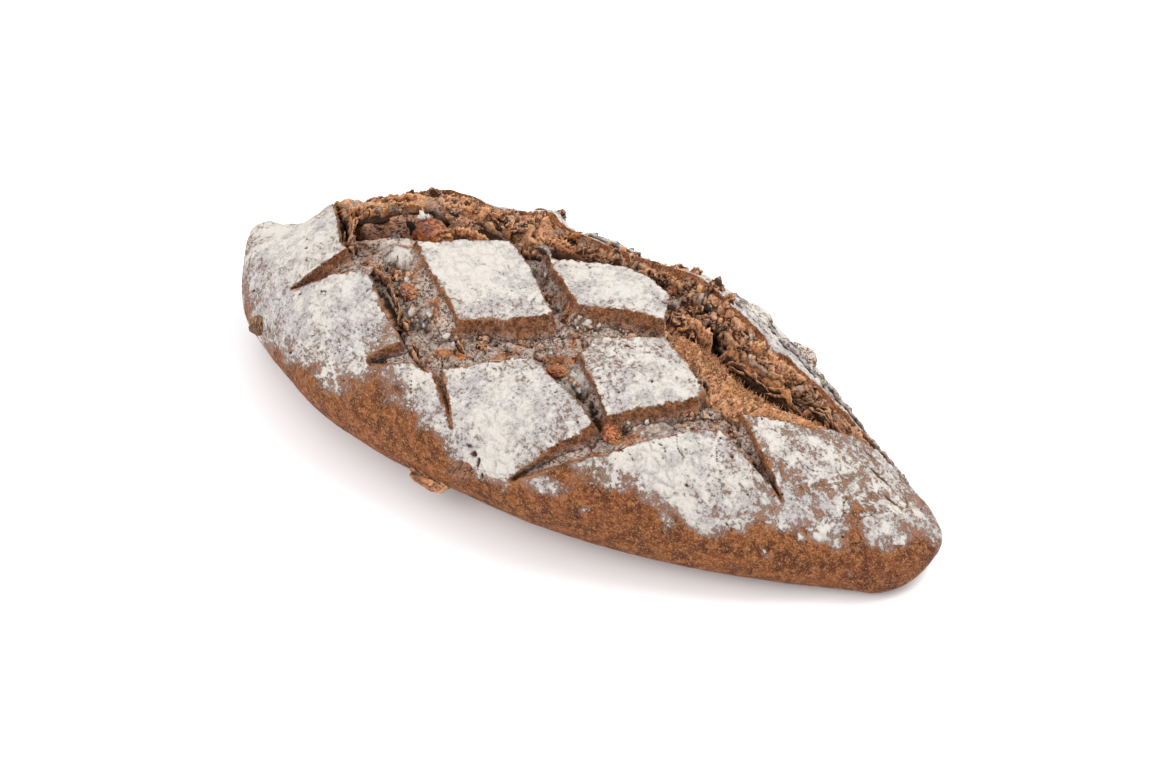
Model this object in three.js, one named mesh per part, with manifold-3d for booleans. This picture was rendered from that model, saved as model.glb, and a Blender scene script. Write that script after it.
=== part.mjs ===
// Walnut bread: a long hearth-baked loaf with pointed ends. Its top was scored with crossing cuts, which opened into
// grooves between raised tiles of crust, and along the far side of its crown the crust has burst into one long tear.
// Pieces of walnut sit in the crust and in the cuts.
//
// Millimetres. X runs along the loaf towards its pointed end, -Y is the scored flank, +Z is up, and the origin is on
// the table under the middle of the loaf. A place on the skin is given as [x, girth], where girth is the distance
// round the skin from the crown, negative down the scored flank.
import * as THREE from "three";
import { mergeVertices } from "three/addons/utils/BufferGeometryUtils.js";
import Module from "manifold-3d";

const wasm = await Module();
wasm.setup();

const { lerp, clamp, smoothstep, degToRad } = THREE.MathUtils;

// ---- Driving dimensions of the loaf ---------------------------------------------------------------------------------

const LENGTH = 280;
const HALF = LENGTH / 2;

// Cross-sections: place along the loaf, half width on the scored flank, half width on the far flank, height.
const SECTIONS = [
  { x: -140, front: 25, back: 15, height: 35 },
  { x: -125, front: 30, back: 22, height: 39 },
  { x: -105, front: 40, back: 37, height: 48 },
  { x: -80, front: 53, back: 49, height: 57 },
  { x: -50, front: 60, back: 56, height: 58 },
  { x: -15, front: 61, back: 59, height: 57 },
  { x: 25, front: 59, back: 60, height: 58 },
  { x: 65, front: 48, back: 50, height: 50 },
  { x: 100, front: 31, back: 34, height: 35 },
  { x: 125, front: 16, back: 25, height: 24 },
  { x: 140, front: 10, back: 22, height: 21 },
];
const BLUNT_END = { radius: 15, centreHeight: 33, aside: -4 };
const POINTED_END = { radius: 15, centreHeight: 14, aside: 7 };
const BLUNT_LEAN = { from: -108, foot: 11 }; // the blunt end hangs over its foot, which lies this far in

const SQUARENESS = 2.2; // exponent of the super-ellipse that each section follows
const WAIST = 0.4; // the widest level, as a share of the height
const UNDERCUT = 1.25; // how far the lower half would reach below the table, before the table flattens it
const FOOT_RADIUS = 3; // the bend between the flank and the flat underside
const MIDDLE_Y = -1.04; // middle of the whole width, with the walnut piece at the foot

// ---- The skin's own unevenness --------------------------------------------------------------------------------------

// Two slow waves over the skin: their heights and their lengths along the loaf and round it, each divided by 2 pi.
const SLOW_WAVE = { height: 0.7, along: 17, round: 13, phase: [1.3, 0.4] };
const QUICK_WAVE = { height: 0.45, along: 7.5, round: 9, phase: 2 };

// Swellings and hollows: place, radius and height.
const SWELLINGS = [
  { at: [-128, 14], radius: 13, height: -5.5 },
  { at: [-118, 14], radius: 7, height: 5.5 },
  { at: [-100, 42], radius: 12, height: -2.5 },
  { at: [-88, 34], radius: 9, height: 1.5 },
  { at: [-62, 42], radius: 8, height: -3 },
  { at: [-40, 42], radius: 7, height: 4 },
  { at: [22, 46], radius: 12, height: 2.5 },
  { at: [47, 34], radius: 11, height: 3 },
  { at: [-38, -52], radius: 14, height: 1.5 },
];
const LIP_RISE = { height: 2, width: 5 }; // the crust curls up along the far lip of the tear
const UNDERSIDE_CALM = [0.35, 0.5]; // share of the girth, from under the middle, over which the unevenness starts

// ---- The cuts -------------------------------------------------------------------------------------------------------

// Each cut is a straight stroke on the skin from one place to another, with its width at both ends and its depth.
const CUTS = [
  { name: "short cut at the blunt end", from: [-101, -33], to: [-80, -16], width: [1, 17], depth: 6 },
  { name: "first falling cut", from: [-86, -2], to: [-33, -37.5], width: [22, 20], depth: 6.5 },
  { name: "first rising cut, foot", from: [-52, -52], to: [-28, -34], width: [3, 18], depth: 5 },
  { name: "first rising cut, middle", from: [-34, -38], to: [4, -12], width: [17, 18], depth: 6.5 },
  { name: "first rising cut, top", from: [2, -7], to: [28, 8], width: [17, 9], depth: 6.5 },
  { name: "second falling cut, top", from: [-41, 25], to: [4, -8], width: [9, 9], depth: 6 },
  { name: "second falling cut, foot", from: [2, -19], to: [37, -39], width: [15, 4], depth: 6 },
  { name: "second rising cut, foot", from: [14, -69], to: [37, -42], width: [2, 10], depth: 4 },
  { name: "second rising cut, top", from: [35, -43], to: [65, -9], width: [11, 12], depth: 5.5 },
  { name: "third falling cut", from: [62, -8], to: [94, -20], width: [13, 1], depth: 5 },
  { name: "shallow score beside the front tile", from: [-31, -41], to: [-14, -60], width: [5, 1], depth: 1.8 },
];
// Three points of the floor, from the foot side to the crown side: the place as a share of the half width, and the
// depth as a share of the cut's. A cut that falls along the loaf is deepest on its foot side and rises gently towards
// the next tile. A cut that rises is deepest under the tile above it.
const CUT_FLOOR = {
  falling: [
    [-0.86, 1],
    [-0.1, 1.1],
    [0.8, 0.4],
  ],
  rising: [
    [-0.82, 0.45],
    [0.1, 0.95],
    [0.56, 1.05],
  ],
};
const CUT_FULL_WIDTH = 5; // a cut narrower than this is shallower in proportion
const CUT_STEP = 5; // spacing of the sections along a cut
const ABOVE_SKIN = 7; // how far the cutting solids stand out of the skin

// ---- The tear -------------------------------------------------------------------------------------------------------

// The gap between a near edge, which follows the tiles, and a far lip: [x, girth] along each.
const TEAR_NEAR_EDGE = [
  [-121, 18],
  [-95, -9],
  [-66, -1],
  [-41, 20],
  [-22, 20],
  [-2, 34],
  [22, 24],
  [30, 6],
  [58, -7],
  [70, -5],
  [100, 22],
  [118, 25],
];
const TEAR_FAR_LIP = [
  [-121, 19.5],
  [-106, 29],
  [-85, 36],
  [-50, 38],
  [0, 42],
  [30, 38],
  [45, 31],
  [65, 28],
  [90, 28],
  [118, 26],
];
const TEAR_DEPTH = 13; // at the bottom of its crack
const TEAR_END_TAPER = 26; // distance over which the depth grows from each tip
// How the tear's section changes along the loaf: where the crack and the top of the far wall lie, as shares of the way
// from near edge to far lip, the depths of the near edge, the far wall's top and the lip, and how late the near side
// drops to the crack.
const TEAR_SHAPE = [
  { x: -121, crack: 0.4, wallTop: 0.6, nearDepth: 2, topDepth: 1, lipDepth: 0.8, bend: 1.2 },
  { x: -105, crack: 0.26, wallTop: 0.4, nearDepth: 2, topDepth: 2, lipDepth: 1, bend: 1.2 },
  { x: -97, crack: 0.25, wallTop: 0.36, nearDepth: 2.5, topDepth: 2.2, lipDepth: 1, bend: 1.3 },
  { x: -88, crack: 0.34, wallTop: 0.44, nearDepth: 4.5, topDepth: 2.2, lipDepth: 1.2, bend: 2.5 },
  { x: -78, crack: 0.47, wallTop: 0.56, nearDepth: 5, topDepth: 2.2, lipDepth: 1.2, bend: 2.5 },
  { x: -68, crack: 0.61, wallTop: 0.72, nearDepth: 6.5, topDepth: 2.4, lipDepth: 1.5, bend: 2 },
  { x: -57, crack: 0.6, wallTop: 0.76, nearDepth: 8, topDepth: 2.6, lipDepth: 1.8, bend: 1 },
  { x: -40, crack: 0.5, wallTop: 0.82, nearDepth: 8, topDepth: 3, lipDepth: 2.4, bend: 1 },
  { x: 0, crack: 0.5, wallTop: 0.94, nearDepth: 8, topDepth: 3.2, lipDepth: 3, bend: 1 },
  { x: 24, crack: 0.54, wallTop: 0.94, nearDepth: 7, topDepth: 3.2, lipDepth: 3, bend: 1.2 },
  { x: 36, crack: 0.6, wallTop: 0.94, nearDepth: 2.5, topDepth: 3.2, lipDepth: 3, bend: 3.2 },
  { x: 118, crack: 0.6, wallTop: 0.94, nearDepth: 2.5, topDepth: 3.2, lipDepth: 3, bend: 3.2 },
];
const CRAG = { height: 1.1, along: 3.1, across: 9, drift: 8, skew: 5 }; // torn crumb, as two crossing waves
const TEAR_STEP = 4;
const TEAR_NEAR_SHARES = [0.4, 0.75, 0.9]; // points of the near side, as shares of the way to the crack

// ---- The walnut pieces ----------------------------------------------------------------------------------------------

// Place on the skin, how far the middle stands out of the skin, half sizes (along X, across, out of the skin) and
// turn in degrees.
const WALNUTS = [
  { name: "walnut_in_tear", at: [-70, 13], lift: -6.5, half: [6.5, 5, 5], turn: 20 },
  { name: "walnut_at_blunt_end", at: [-114, -46], lift: 0.4, half: [4, 3.4, 2.8], turn: 60 },
  { name: "walnut_at_foot", at: [-22, -88], lift: 0.5, half: [8, 4, 3.6], turn: -8 },
  { name: "walnut_far_flank_a", at: [44, 46], lift: 0.6, half: [7, 4.6, 3.6], turn: 12 },
  { name: "walnut_far_flank_b", at: [66, 42], lift: 0.4, half: [6, 4.2, 4], turn: -18 },
  { name: "walnut_in_middle_cut", at: [8, -26], lift: -4.2, half: [3.6, 2.6, 2.6], turn: 40 },
  { name: "walnut_under_tile", at: [37, -37.5], lift: -4.2, half: [4.2, 3, 2.8], turn: -30 },
  { name: "walnut_in_first_cut", at: [-58, -20], lift: -5.2, half: [3.8, 3.2, 3], turn: 25 },
  { name: "walnut_in_front_flank", at: [-6, -74], lift: -0.2, half: [6.5, 4, 2.6], turn: 30 },
];
const LOBES = { depth: 0.13, alongX: 3.1, alongY: 4.3, cross: 5, crossShare: 0.6 };
const POCKET_GAP = 0.3; // space between a walnut piece and the crumb that holds it

// ---- Small mathematics ----------------------------------------------------------------------------------------------

/** A smooth curve through the points (xs, ys): cubic Hermite, each slope the weighted mean of its two neighbours. */
function curveThrough(xs, ys, x) {
  const rise = xs.slice(1).map((right, i) => (ys[i + 1] - ys[i]) / (right - xs[i]));
  const slope = xs.map((_, i) => {
    if (i === 0) return rise[0];
    if (i === xs.length - 1) return rise[i - 1];
    const before = xs[i] - xs[i - 1];
    const after = xs[i + 1] - xs[i];
    return (rise[i - 1] * after + rise[i] * before) / (before + after);
  });
  const i = clamp(xs.findIndex((right) => right >= x) - 1, 0, xs.length - 2);
  const span = xs[i + 1] - xs[i];
  const t = (x - xs[i]) / span;
  return (
    ys[i] * (1 + 2 * t) * (1 - t) ** 2 +
    slope[i] * span * t * (1 - t) ** 2 +
    ys[i + 1] * t * t * (3 - 2 * t) +
    slope[i + 1] * span * t * t * (t - 1)
  );
}

/** The broken line through the points, at x. */
function lineThrough(points, x) {
  const i = clamp(points.findIndex(([right]) => right >= x) - 1, 0, points.length - 2);
  const [x0, y0] = points[i];
  const [x1, y1] = points[i + 1];
  return lerp(y0, y1, clamp((x - x0) / (x1 - x0), 0, 1));
}

/** z kept above the table, with a soft bend of the given size. */
function aboveTable(z, bend) {
  const h = clamp(0.5 + (0.5 * z) / bend, 0, 1);
  return z * h + bend * h * (1 - h);
}

/** A signed power, which keeps the sign of its base. */
function signedPower(base, power) {
  return Math.sign(base) * Math.abs(base) ** power;
}

// ---- The skin -------------------------------------------------------------------------------------------------------

const RING_POINTS = 240;
const sectionX = SECTIONS.map((s) => s.x);
const fronts = SECTIONS.map((s) => s.front);
const backs = SECTIONS.map((s) => s.back);
const heights = SECTIONS.map((s) => s.height);

/** The smooth section at x: points [y, z] from under the middle, up the scored flank, over the crown and down. */
function makeRing(x) {
  const front = curveThrough(sectionX, fronts, x);
  const back = curveThrough(sectionX, backs, x);
  const height = curveThrough(sectionX, heights, x);
  const end = x < 0 ? BLUNT_END : POINTED_END;
  const intoEnd = clamp((Math.abs(x) - (HALF - end.radius)) / end.radius, 0, 1);
  const fullness = Math.sqrt(1 - intoEnd ** 2);
  const waist = WAIST * height;
  const points = [];
  for (let i = 0; i <= RING_POINTS; i++) {
    const angle = Math.PI * ((2 * i) / RING_POINTS - 1);
    const across = signedPower(Math.sin(angle), 2 / SQUARENESS);
    const up = signedPower(Math.cos(angle), 2 / SQUARENESS);
    const y = across * (across < 0 ? front : back);
    const z = aboveTable(waist + up * (up > 0 ? height - waist : waist * UNDERCUT), FOOT_RADIUS);
    points.push([
      end.aside + (y - end.aside) * fullness - MIDDLE_Y,
      end.centreHeight + (z - end.centreHeight) * fullness,
    ]);
  }
  const girth = [0];
  for (let i = 1; i < points.length; i++) {
    girth.push(girth[i - 1] + Math.hypot(points[i][0] - points[i - 1][0], points[i][1] - points[i - 1][1]));
  }
  const crown = girth[RING_POINTS / 2];
  return { points, girth: girth.map((g) => g - crown) };
}

const rings = new Map();
function ringAt(x) {
  const key = Math.round(x * 100);
  if (!rings.has(key)) rings.set(key, makeRing(clamp(x, -HALF, HALF)));
  return rings.get(key);
}

/** How far the blunt end's face lies further in at height z. */
function leanIn(x, z) {
  const intoLean = clamp((BLUNT_LEAN.from - x) / (BLUNT_LEAN.from + HALF), 0, 1);
  return BLUNT_LEAN.foot * intoLean ** 2 * clamp(1 - z / BLUNT_END.centreHeight, 0, 1);
}

/** The point of the smooth loaf at (x, girth), moved out of the skin by lift, in the plane of its section. */
function skin(x, girth, lift = 0) {
  const ring = ringAt(x);
  const after = ring.girth.findIndex((g) => g >= girth);
  const j = after < 0 ? ring.girth.length - 2 : Math.max(after - 1, 0);
  const [y0, z0] = ring.points[j];
  const [y1, z1] = ring.points[j + 1];
  const length = ring.girth[j + 1] - ring.girth[j] || 1;
  const t = clamp((girth - ring.girth[j]) / length, 0, 1);
  const y = lerp(y0, y1, t) + ((z0 - z1) / length) * lift;
  const z = lerp(z0, z1, t) + ((y1 - y0) / length) * lift;
  return new THREE.Vector3(x + leanIn(x, z), y, z);
}

/** 0 at the tips of the tear and beyond, 1 where it is fully open. */
function tearOpening(x) {
  const toTip = Math.min(x - TEAR_NEAR_EDGE[0][0], TEAR_NEAR_EDGE.at(-1)[0] - x);
  return smoothstep(toTip, 0, TEAR_END_TAPER);
}

/** How far the skin swells out of the smooth loaf at (x, girth). */
function swell(x, girth) {
  const slow = Math.sin(x / SLOW_WAVE.along + SLOW_WAVE.phase[0]) * Math.sin(girth / SLOW_WAVE.round + SLOW_WAVE.phase[1]);
  const quick = Math.sin(x / QUICK_WAVE.along - girth / QUICK_WAVE.round + QUICK_WAVE.phase);
  let height = SLOW_WAVE.height * slow + QUICK_WAVE.height * quick;
  for (const { at, radius, height: top } of SWELLINGS) {
    const away = Math.hypot(x - at[0], girth - at[1]) / radius;
    height += top * Math.exp(-away * away);
  }
  const pastLip = girth - lineThrough(TEAR_FAR_LIP, x);
  if (pastLip > 0) height += tearOpening(x) * LIP_RISE.height * Math.exp(-((pastLip / LIP_RISE.width) ** 2));
  return height;
}

// ---- Solids ---------------------------------------------------------------------------------------------------------

/** The manifold solid of a closed geometry, turned the right way out. */
function toManifold(geometry) {
  const bare = geometry.clone();
  bare.deleteAttribute("normal");
  bare.deleteAttribute("uv");
  const merged = mergeVertices(bare);
  const vertProperties = new Float32Array(merged.attributes.position.array);
  const triVerts = new Uint32Array(merged.index.array);
  const solid = new wasm.Manifold(new wasm.Mesh({ numProp: 3, vertProperties, triVerts }));
  if (solid.volume() > 0) return solid;
  for (let i = 0; i < triVerts.length; i += 3) [triVerts[i + 1], triVerts[i + 2]] = [triVerts[i + 2], triVerts[i + 1]];
  return new wasm.Manifold(new wasm.Mesh({ numProp: 3, vertProperties, triVerts }));
}

/** A geometry with flat facets from a manifold solid. */
function toGeometry(solid) {
  const mesh = solid.getMesh();
  const geometry = new THREE.BufferGeometry();
  geometry.setAttribute("position", new THREE.BufferAttribute(mesh.vertProperties, 3));
  geometry.setIndex(new THREE.BufferAttribute(mesh.triVerts, 1));
  const flat = geometry.toNonIndexed();
  flat.computeVertexNormals();
  return flat;
}

/** A closed solid through a row of loops of points, all of one length, with its two ends capped. */
function solidThroughLoops(loops) {
  const around = loops[0].length;
  const index = [];
  for (let row = 0; row + 1 < loops.length; row++) {
    for (let i = 0; i < around; i++) {
      const a = row * around + i;
      const b = row * around + ((i + 1) % around);
      index.push(a, b, b + around, a, b + around, a + around);
    }
  }
  const lastRow = (loops.length - 1) * around;
  for (let i = 1; i + 1 < around; i++) index.push(0, i + 1, i, lastRow, lastRow + i, lastRow + i + 1);
  const geometry = new THREE.BufferGeometry().setFromPoints(loops.flat());
  geometry.setIndex(index);
  return toManifold(geometry);
}

// The facets of the uncut loaf: small over the scored top, large underneath.
const RINGS_ALONG = 60;
const RINGS_CROWDED_TO_ENDS = 1.35;
const SCORED_REACH = 78; // girth of the finely faceted part, to each side of the crown
const SCORED_REACH_SHARE = 0.62; // and at most this share of the way to under the middle
const SCORED_FACETS = 17;
const UNDERSIDE_FACETS = 6;

/** The points of one ring of the uncut loaf, on one side of the crown, from the crown to under the middle. */
function halfRing(x, side) {
  const { girth } = ringAt(x);
  const whole = side < 0 ? -girth[0] : girth.at(-1);
  const reach = Math.min(SCORED_REACH, SCORED_REACH_SHARE * whole);
  const places = [];
  for (let k = 0; k <= SCORED_FACETS; k++) places.push((reach * k) / SCORED_FACETS);
  for (let k = 1; k <= UNDERSIDE_FACETS; k++) places.push(lerp(reach, whole, k / UNDERSIDE_FACETS));
  return places.map((place) => {
    const calm = smoothstep(1 - place / whole, ...UNDERSIDE_CALM);
    return skin(x, side * place, calm * swell(x, side * place));
  });
}

/** The loaf before it is cut and torn. */
function uncutLoaf() {
  const around = 2 * (SCORED_FACETS + UNDERSIDE_FACETS);
  const loops = [Array(around).fill(new THREE.Vector3(-HALF, BLUNT_END.aside - MIDDLE_Y, BLUNT_END.centreHeight))];
  for (let i = 1; i < RINGS_ALONG; i++) {
    const t = (2 * i) / RINGS_ALONG - 1;
    const x = HALF * Math.sign(t) * (1 - (1 - Math.abs(t)) ** RINGS_CROWDED_TO_ENDS);
    loops.push([...halfRing(x, -1).slice(0, -1).reverse(), ...halfRing(x, 1).slice(1)]);
  }
  loops.push(Array(around).fill(new THREE.Vector3(HALF, POINTED_END.aside - MIDDLE_Y, POINTED_END.centreHeight)));
  return solidThroughLoops(loops);
}

/** What a cut takes away: a trough along its stroke, narrower at its floor. */
function cutSolid({ from, to, width, depth }) {
  const length = Math.hypot(to[0] - from[0], to[1] - from[1]);
  const along = [(to[0] - from[0]) / length, (to[1] - from[1]) / length];
  const floor = to[1] < from[1] ? CUT_FLOOR.falling : CUT_FLOOR.rising;
  const steps = Math.max(2, Math.round(length / CUT_STEP));
  const loops = [];
  for (let i = 0; i <= steps; i++) {
    const t = i / steps;
    const half = lerp(...width, t) / 2;
    const full = -depth * Math.min(1, (2 * half) / CUT_FULL_WIDTH);
    const at = (aside, lift) =>
      skin(lerp(from[0], to[0], t) - along[1] * aside, lerp(from[1], to[1], t) + along[0] * aside, lift);
    loops.push([
      at(-half, ABOVE_SKIN),
      at(-half, 0),
      ...floor.map(([place, share]) => at(half * place, full * share)),
      at(half, 0),
      at(half, ABOVE_SKIN),
    ]);
  }
  return solidThroughLoops(loops);
}

/** The tear's section at x, between the two nearest of the named ones. */
function tearShape(x) {
  const i = clamp(TEAR_SHAPE.findIndex((shape) => shape.x >= x) - 1, 0, TEAR_SHAPE.length - 2);
  const before = TEAR_SHAPE[i];
  const after = TEAR_SHAPE[i + 1];
  const t = clamp((x - before.x) / (after.x - before.x), 0, 1);
  return Object.fromEntries(Object.keys(before).map((key) => [key, lerp(before[key], after[key], t)]));
}

/** Depth of the tear below the smooth skin at a share across it, 0 at the near edge and 1 at the far lip. */
function tearDepth(x, share) {
  const { crack, wallTop, nearDepth, topDepth, lipDepth, bend } = tearShape(x);
  const opening = tearOpening(x);
  const deepest = TEAR_DEPTH * opening;
  const nearSide = lerp(Math.min(nearDepth, deepest), deepest, clamp(share / crack, 0, 1) ** bend);
  const farWall = lerp(deepest, topDepth * opening, smoothstep(share, crack, wallTop));
  const ease = lerp(topDepth, lipDepth, clamp((share - wallTop) / (1 - wallTop), 0, 1)) * opening;
  const plain = share < crack ? nearSide : share < wallTop ? farWall : ease;
  const crag = Math.sin(x / CRAG.along + CRAG.skew * share) * Math.sin(CRAG.across * share + x / CRAG.drift);
  return plain + CRAG.height * crag * opening;
}

/** What the tear takes away. */
function tearSolid() {
  const first = TEAR_NEAR_EDGE[0][0];
  const last = TEAR_NEAR_EDGE.at(-1)[0];
  const steps = Math.round((last - first) / TEAR_STEP);
  const leastDepth = 0.3;
  const leastWidth = 1;
  const lipClearance = 0.2;
  const wallLean = 0.03; // share of the width that each wall leans in
  const loops = [];
  for (let i = 0; i <= steps; i++) {
    const x = lerp(first, last, i / steps);
    const near = lineThrough(TEAR_NEAR_EDGE, x);
    const far = Math.max(lineThrough(TEAR_FAR_LIP, x), near + leastWidth);
    const loop = [skin(x, near, ABOVE_SKIN), skin(x, near, lipClearance)];
    const { crack, wallTop } = tearShape(x);
    const nearSide = TEAR_NEAR_SHARES.map((share) => share * crack);
    const farSide = [(crack + wallTop) / 2, wallTop, (wallTop + 1) / 2];
    for (const share of [wallLean, ...nearSide, crack, ...farSide, 1 - wallLean]) {
      loop.push(skin(x, lerp(near, far, share), -Math.max(tearDepth(x, share), leastDepth)));
    }
    loop.push(skin(x, far, lipClearance), skin(x, far, ABOVE_SKIN));
    loops.push(loop);
  }
  return solidThroughLoops(loops);
}

/** A broken piece of kernel: a ball with lobes, squeezed to its half sizes and grown all round by the given amount. */
function walnutGeometry({ at, lift, half, turn }, grow = 0) {
  const geometry = new THREE.IcosahedronGeometry(1, 2);
  const alongLoaf = new THREE.Vector3(1, 0, 0);
  const place = skin(...at, lift);
  const out = skin(...at, lift + 1).sub(place);
  const across = new THREE.Vector3().crossVectors(out, alongLoaf);
  const stand = new THREE.Matrix4().makeBasis(alongLoaf, across, out);
  stand.multiply(new THREE.Matrix4().makeRotationZ(degToRad(turn)));
  stand.setPosition(place);
  const position = geometry.attributes.position;
  const point = new THREE.Vector3();
  for (let i = 0; i < position.count; i++) {
    point.fromBufferAttribute(position, i);
    const straight = Math.sin(LOBES.alongX * point.x + 2 * at[0]) * Math.cos(LOBES.alongY * point.y + at[1]);
    const slanting = LOBES.crossShare * Math.sin(LOBES.cross * point.z + LOBES.alongX * point.x);
    const radius = 1 + LOBES.depth * (straight + slanting);
    point.set(...point.toArray().map((share, axis) => share * (half[axis] * radius + grow))).applyMatrix4(stand);
    position.setXYZ(i, ...point.toArray());
  }
  geometry.computeVertexNormals();
  return geometry;
}

/** The largest of the separate bodies of a solid. */
function largestBody(solid) {
  return solid.decompose().reduce((best, body) => (body.volume() > best.volume() ? body : best));
}

// ---- The object -----------------------------------------------------------------------------------------------------

const crust = new THREE.MeshStandardMaterial({ color: 0x9c6a48, roughness: 0.9, metalness: 0 });
const kernel = new THREE.MeshStandardMaterial({ color: 0x9a5426, roughness: 0.6, metalness: 0 });

function named(name, geometry, material) {
  const mesh = new THREE.Mesh(geometry, material);
  mesh.name = name;
  return mesh;
}

/** The loaf with its cuts, its tear and a pocket for each walnut piece. */
function makeLoaf() {
  let loaf = uncutLoaf().subtract(tearSolid());
  for (const cut of CUTS) loaf = loaf.subtract(cutSolid(cut));
  for (const walnut of WALNUTS) loaf = loaf.subtract(toManifold(walnutGeometry(walnut, POCKET_GAP)));
  return toGeometry(largestBody(loaf));
}

const bread = new THREE.Group();
bread.name = "walnut_bread";
bread.add(named("loaf", makeLoaf(), crust));
for (const walnut of WALNUTS) bread.add(named(walnut.name, walnutGeometry(walnut), kernel));

export default bread;
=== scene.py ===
# %% [markdown]
# # Walnut bread
# A long hearth-baked loaf with pointed ends. Before baking it was dusted with flour and scored with crossing
# cuts. In the oven the cuts opened into grooves between raised tiles of crust, and along the far side of the
# crown the crust burst into one long tear that shows the crumb. Pieces of walnut sit in the crust, the cuts
# and the tear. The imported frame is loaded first, because every piece below has to lie where its solid lies.
# All shapes are worked out with numpy: the bread could be sculpted, but a formula is repeatable and stays on
# its solid.

# %% Load the frame
import math

import bpy
import numpy as np
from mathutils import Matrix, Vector


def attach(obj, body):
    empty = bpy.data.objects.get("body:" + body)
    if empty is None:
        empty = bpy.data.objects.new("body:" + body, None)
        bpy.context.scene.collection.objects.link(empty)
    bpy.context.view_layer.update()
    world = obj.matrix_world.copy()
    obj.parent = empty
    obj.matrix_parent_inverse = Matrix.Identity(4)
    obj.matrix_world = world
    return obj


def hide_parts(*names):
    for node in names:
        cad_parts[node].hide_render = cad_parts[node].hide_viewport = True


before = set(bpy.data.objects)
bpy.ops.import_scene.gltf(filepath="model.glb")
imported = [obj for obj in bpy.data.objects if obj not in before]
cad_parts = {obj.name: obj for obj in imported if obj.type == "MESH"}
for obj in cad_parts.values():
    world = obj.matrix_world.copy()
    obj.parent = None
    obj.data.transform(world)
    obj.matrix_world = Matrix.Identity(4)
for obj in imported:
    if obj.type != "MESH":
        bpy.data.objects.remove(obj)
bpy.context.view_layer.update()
MM = 0.001

# %% [markdown]
# ## Small tools
# The crust is worked out as a height over a smooth loaf, so most of this script adds and subtracts fields on
# a grid. A field needs three things: smooth steps between two levels, a smooth random field (gradient noise),
# and a field of small round cells, which is how flour clots, blisters and crumb pores are arranged. Texture
# nodes could roughen the surface in the render alone, but then the mesh would be smooth, and its shadows and
# outline with it.

# %% Steps and noise
def step(x, low, high):
    """0 below low, 1 above high, and 3t^2 - 2t^3 between them."""
    t = np.clip((x - low) / (high - low), 0, 1)
    return t * t * (3 - 2 * t)


def mix(a, b, share):
    """a where share is 0, b where share is 1."""
    return a + (b - a) * share


def dice(i, j, seed):
    """A repeatable number from 0 to 1 for each whole (i, j): the fraction of a large sine."""
    value = np.sin(i * 127.1 + j * 311.7 + seed * 74.7) * 43758.5453
    return value - np.floor(value)


def noise(u, v, size, seed):
    """Gradient noise from about -1 to 1, with bumps of the given size: a random slope at each lattice point,
    blended with 6t^5 - 15t^4 + 10t^3."""
    u, v = u / size, v / size
    i, j = np.floor(u), np.floor(v)
    a, b = u - i, v - j
    fade_a = a ** 3 * (a * (6 * a - 15) + 10)
    fade_b = b ** 3 * (b * (6 * b - 15) + 10)

    def slope(p, q):
        """The gradient at a corner of the lattice, along its offset."""
        turn = 2 * np.pi * dice(i + p, j + q, seed)
        return np.cos(turn) * (a - p) + np.sin(turn) * (b - q)

    near = mix(slope(0, 0), slope(1, 0), fade_a)
    far = mix(slope(0, 1), slope(1, 1), fade_a)
    return 1.6 * mix(near, far, fade_b)


def rough(u, v, size, seed, octaves=4, keep=0.5):
    """Sum of noise at sizes that halve, each weaker by keep: a craggy field from about -1 to 1."""
    total, weight, norm = 0.0, 1.0, 0.0
    for k in range(octaves):
        total = total + weight * noise(u, v, size / 2 ** k, seed + 13 * k)
        norm += weight
        weight *= keep
    return total / norm * 1.3


def ridge(u, v, size, seed, octaves=3):
    """1 - |noise|, sharpened: long thin crests with hollows between, from 0 to 1."""
    total, weight, norm = 0.0, 1.0, 0.0
    for k in range(octaves):
        crest = 1 - np.abs(noise(u, v, size / 2 ** k, seed + 7 * k))
        total = total + weight * crest ** 3
        norm += weight
        weight *= 0.5
    return total / norm


def cells(u, v, size, seed):
    """Distance to the nearest and to the second nearest of one random point per lattice square, in cell
    sizes."""
    u, v = u / size, v / size
    i, j = np.floor(u), np.floor(v)
    first = np.full(np.shape(u), 9.0)
    second = np.full(np.shape(u), 9.0)
    for p in (-1, 0, 1):
        for q in (-1, 0, 1):
            du = i + p + dice(i + p, j + q, seed) - u
            dv = j + q + dice(i + p, j + q, seed + 5) - v
            away = np.hypot(du, dv)
            second = np.minimum(second, np.maximum(first, away))
            first = np.minimum(first, away)
    return first, second


sample = rough(np.linspace(0, 100, 401), np.zeros(401), 12, 1)
print("rough noise along 100 mm runs from %.2f to %.2f" % (sample.min(), sample.max()))

# %% [markdown]
# ## The smooth loaf
# Eleven cross-sections give the loaf its body: each has a half width on the scored flank, a half width on the
# far flank and a height, and a smooth curve runs through them. A section is a super-ellipse, between an
# ellipse and a box, whose lower part is pressed flat by the oven floor. The solid's own triangles could be
# subdivided instead, but a formula gives as many points as a crust needs, in rows that follow the loaf.

# %% Sections of the loaf (mm)
HALF = 140.0
SECTION_X = [-140, -125, -105, -80, -50, -15, 25, 65, 100, 125, 140]
FRONT = [25, 30, 40, 53, 60, 61, 59, 48, 31, 16, 10]
BACK = [15, 22, 37, 49, 56, 59, 60, 50, 34, 25, 22]
HEIGHT = [35, 39, 48, 57, 58, 57, 58, 50, 35, 24, 21]
BLUNT_END = {"radius": 15.0, "centre": 33.0, "aside": -4.0}
POINTED_END = {"radius": 15.0, "centre": 14.0, "aside": 7.0}
BLUNT_LEAN = {"from": -108.0, "foot": 11.0}
SQUARENESS = 2.2
WAIST = 0.4
UNDERCUT = 1.25
FOOT_RADIUS = 3.0
MIDDLE_Y = -1.04
print(len(SECTION_X), "sections over", 2 * HALF, "mm")


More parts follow.
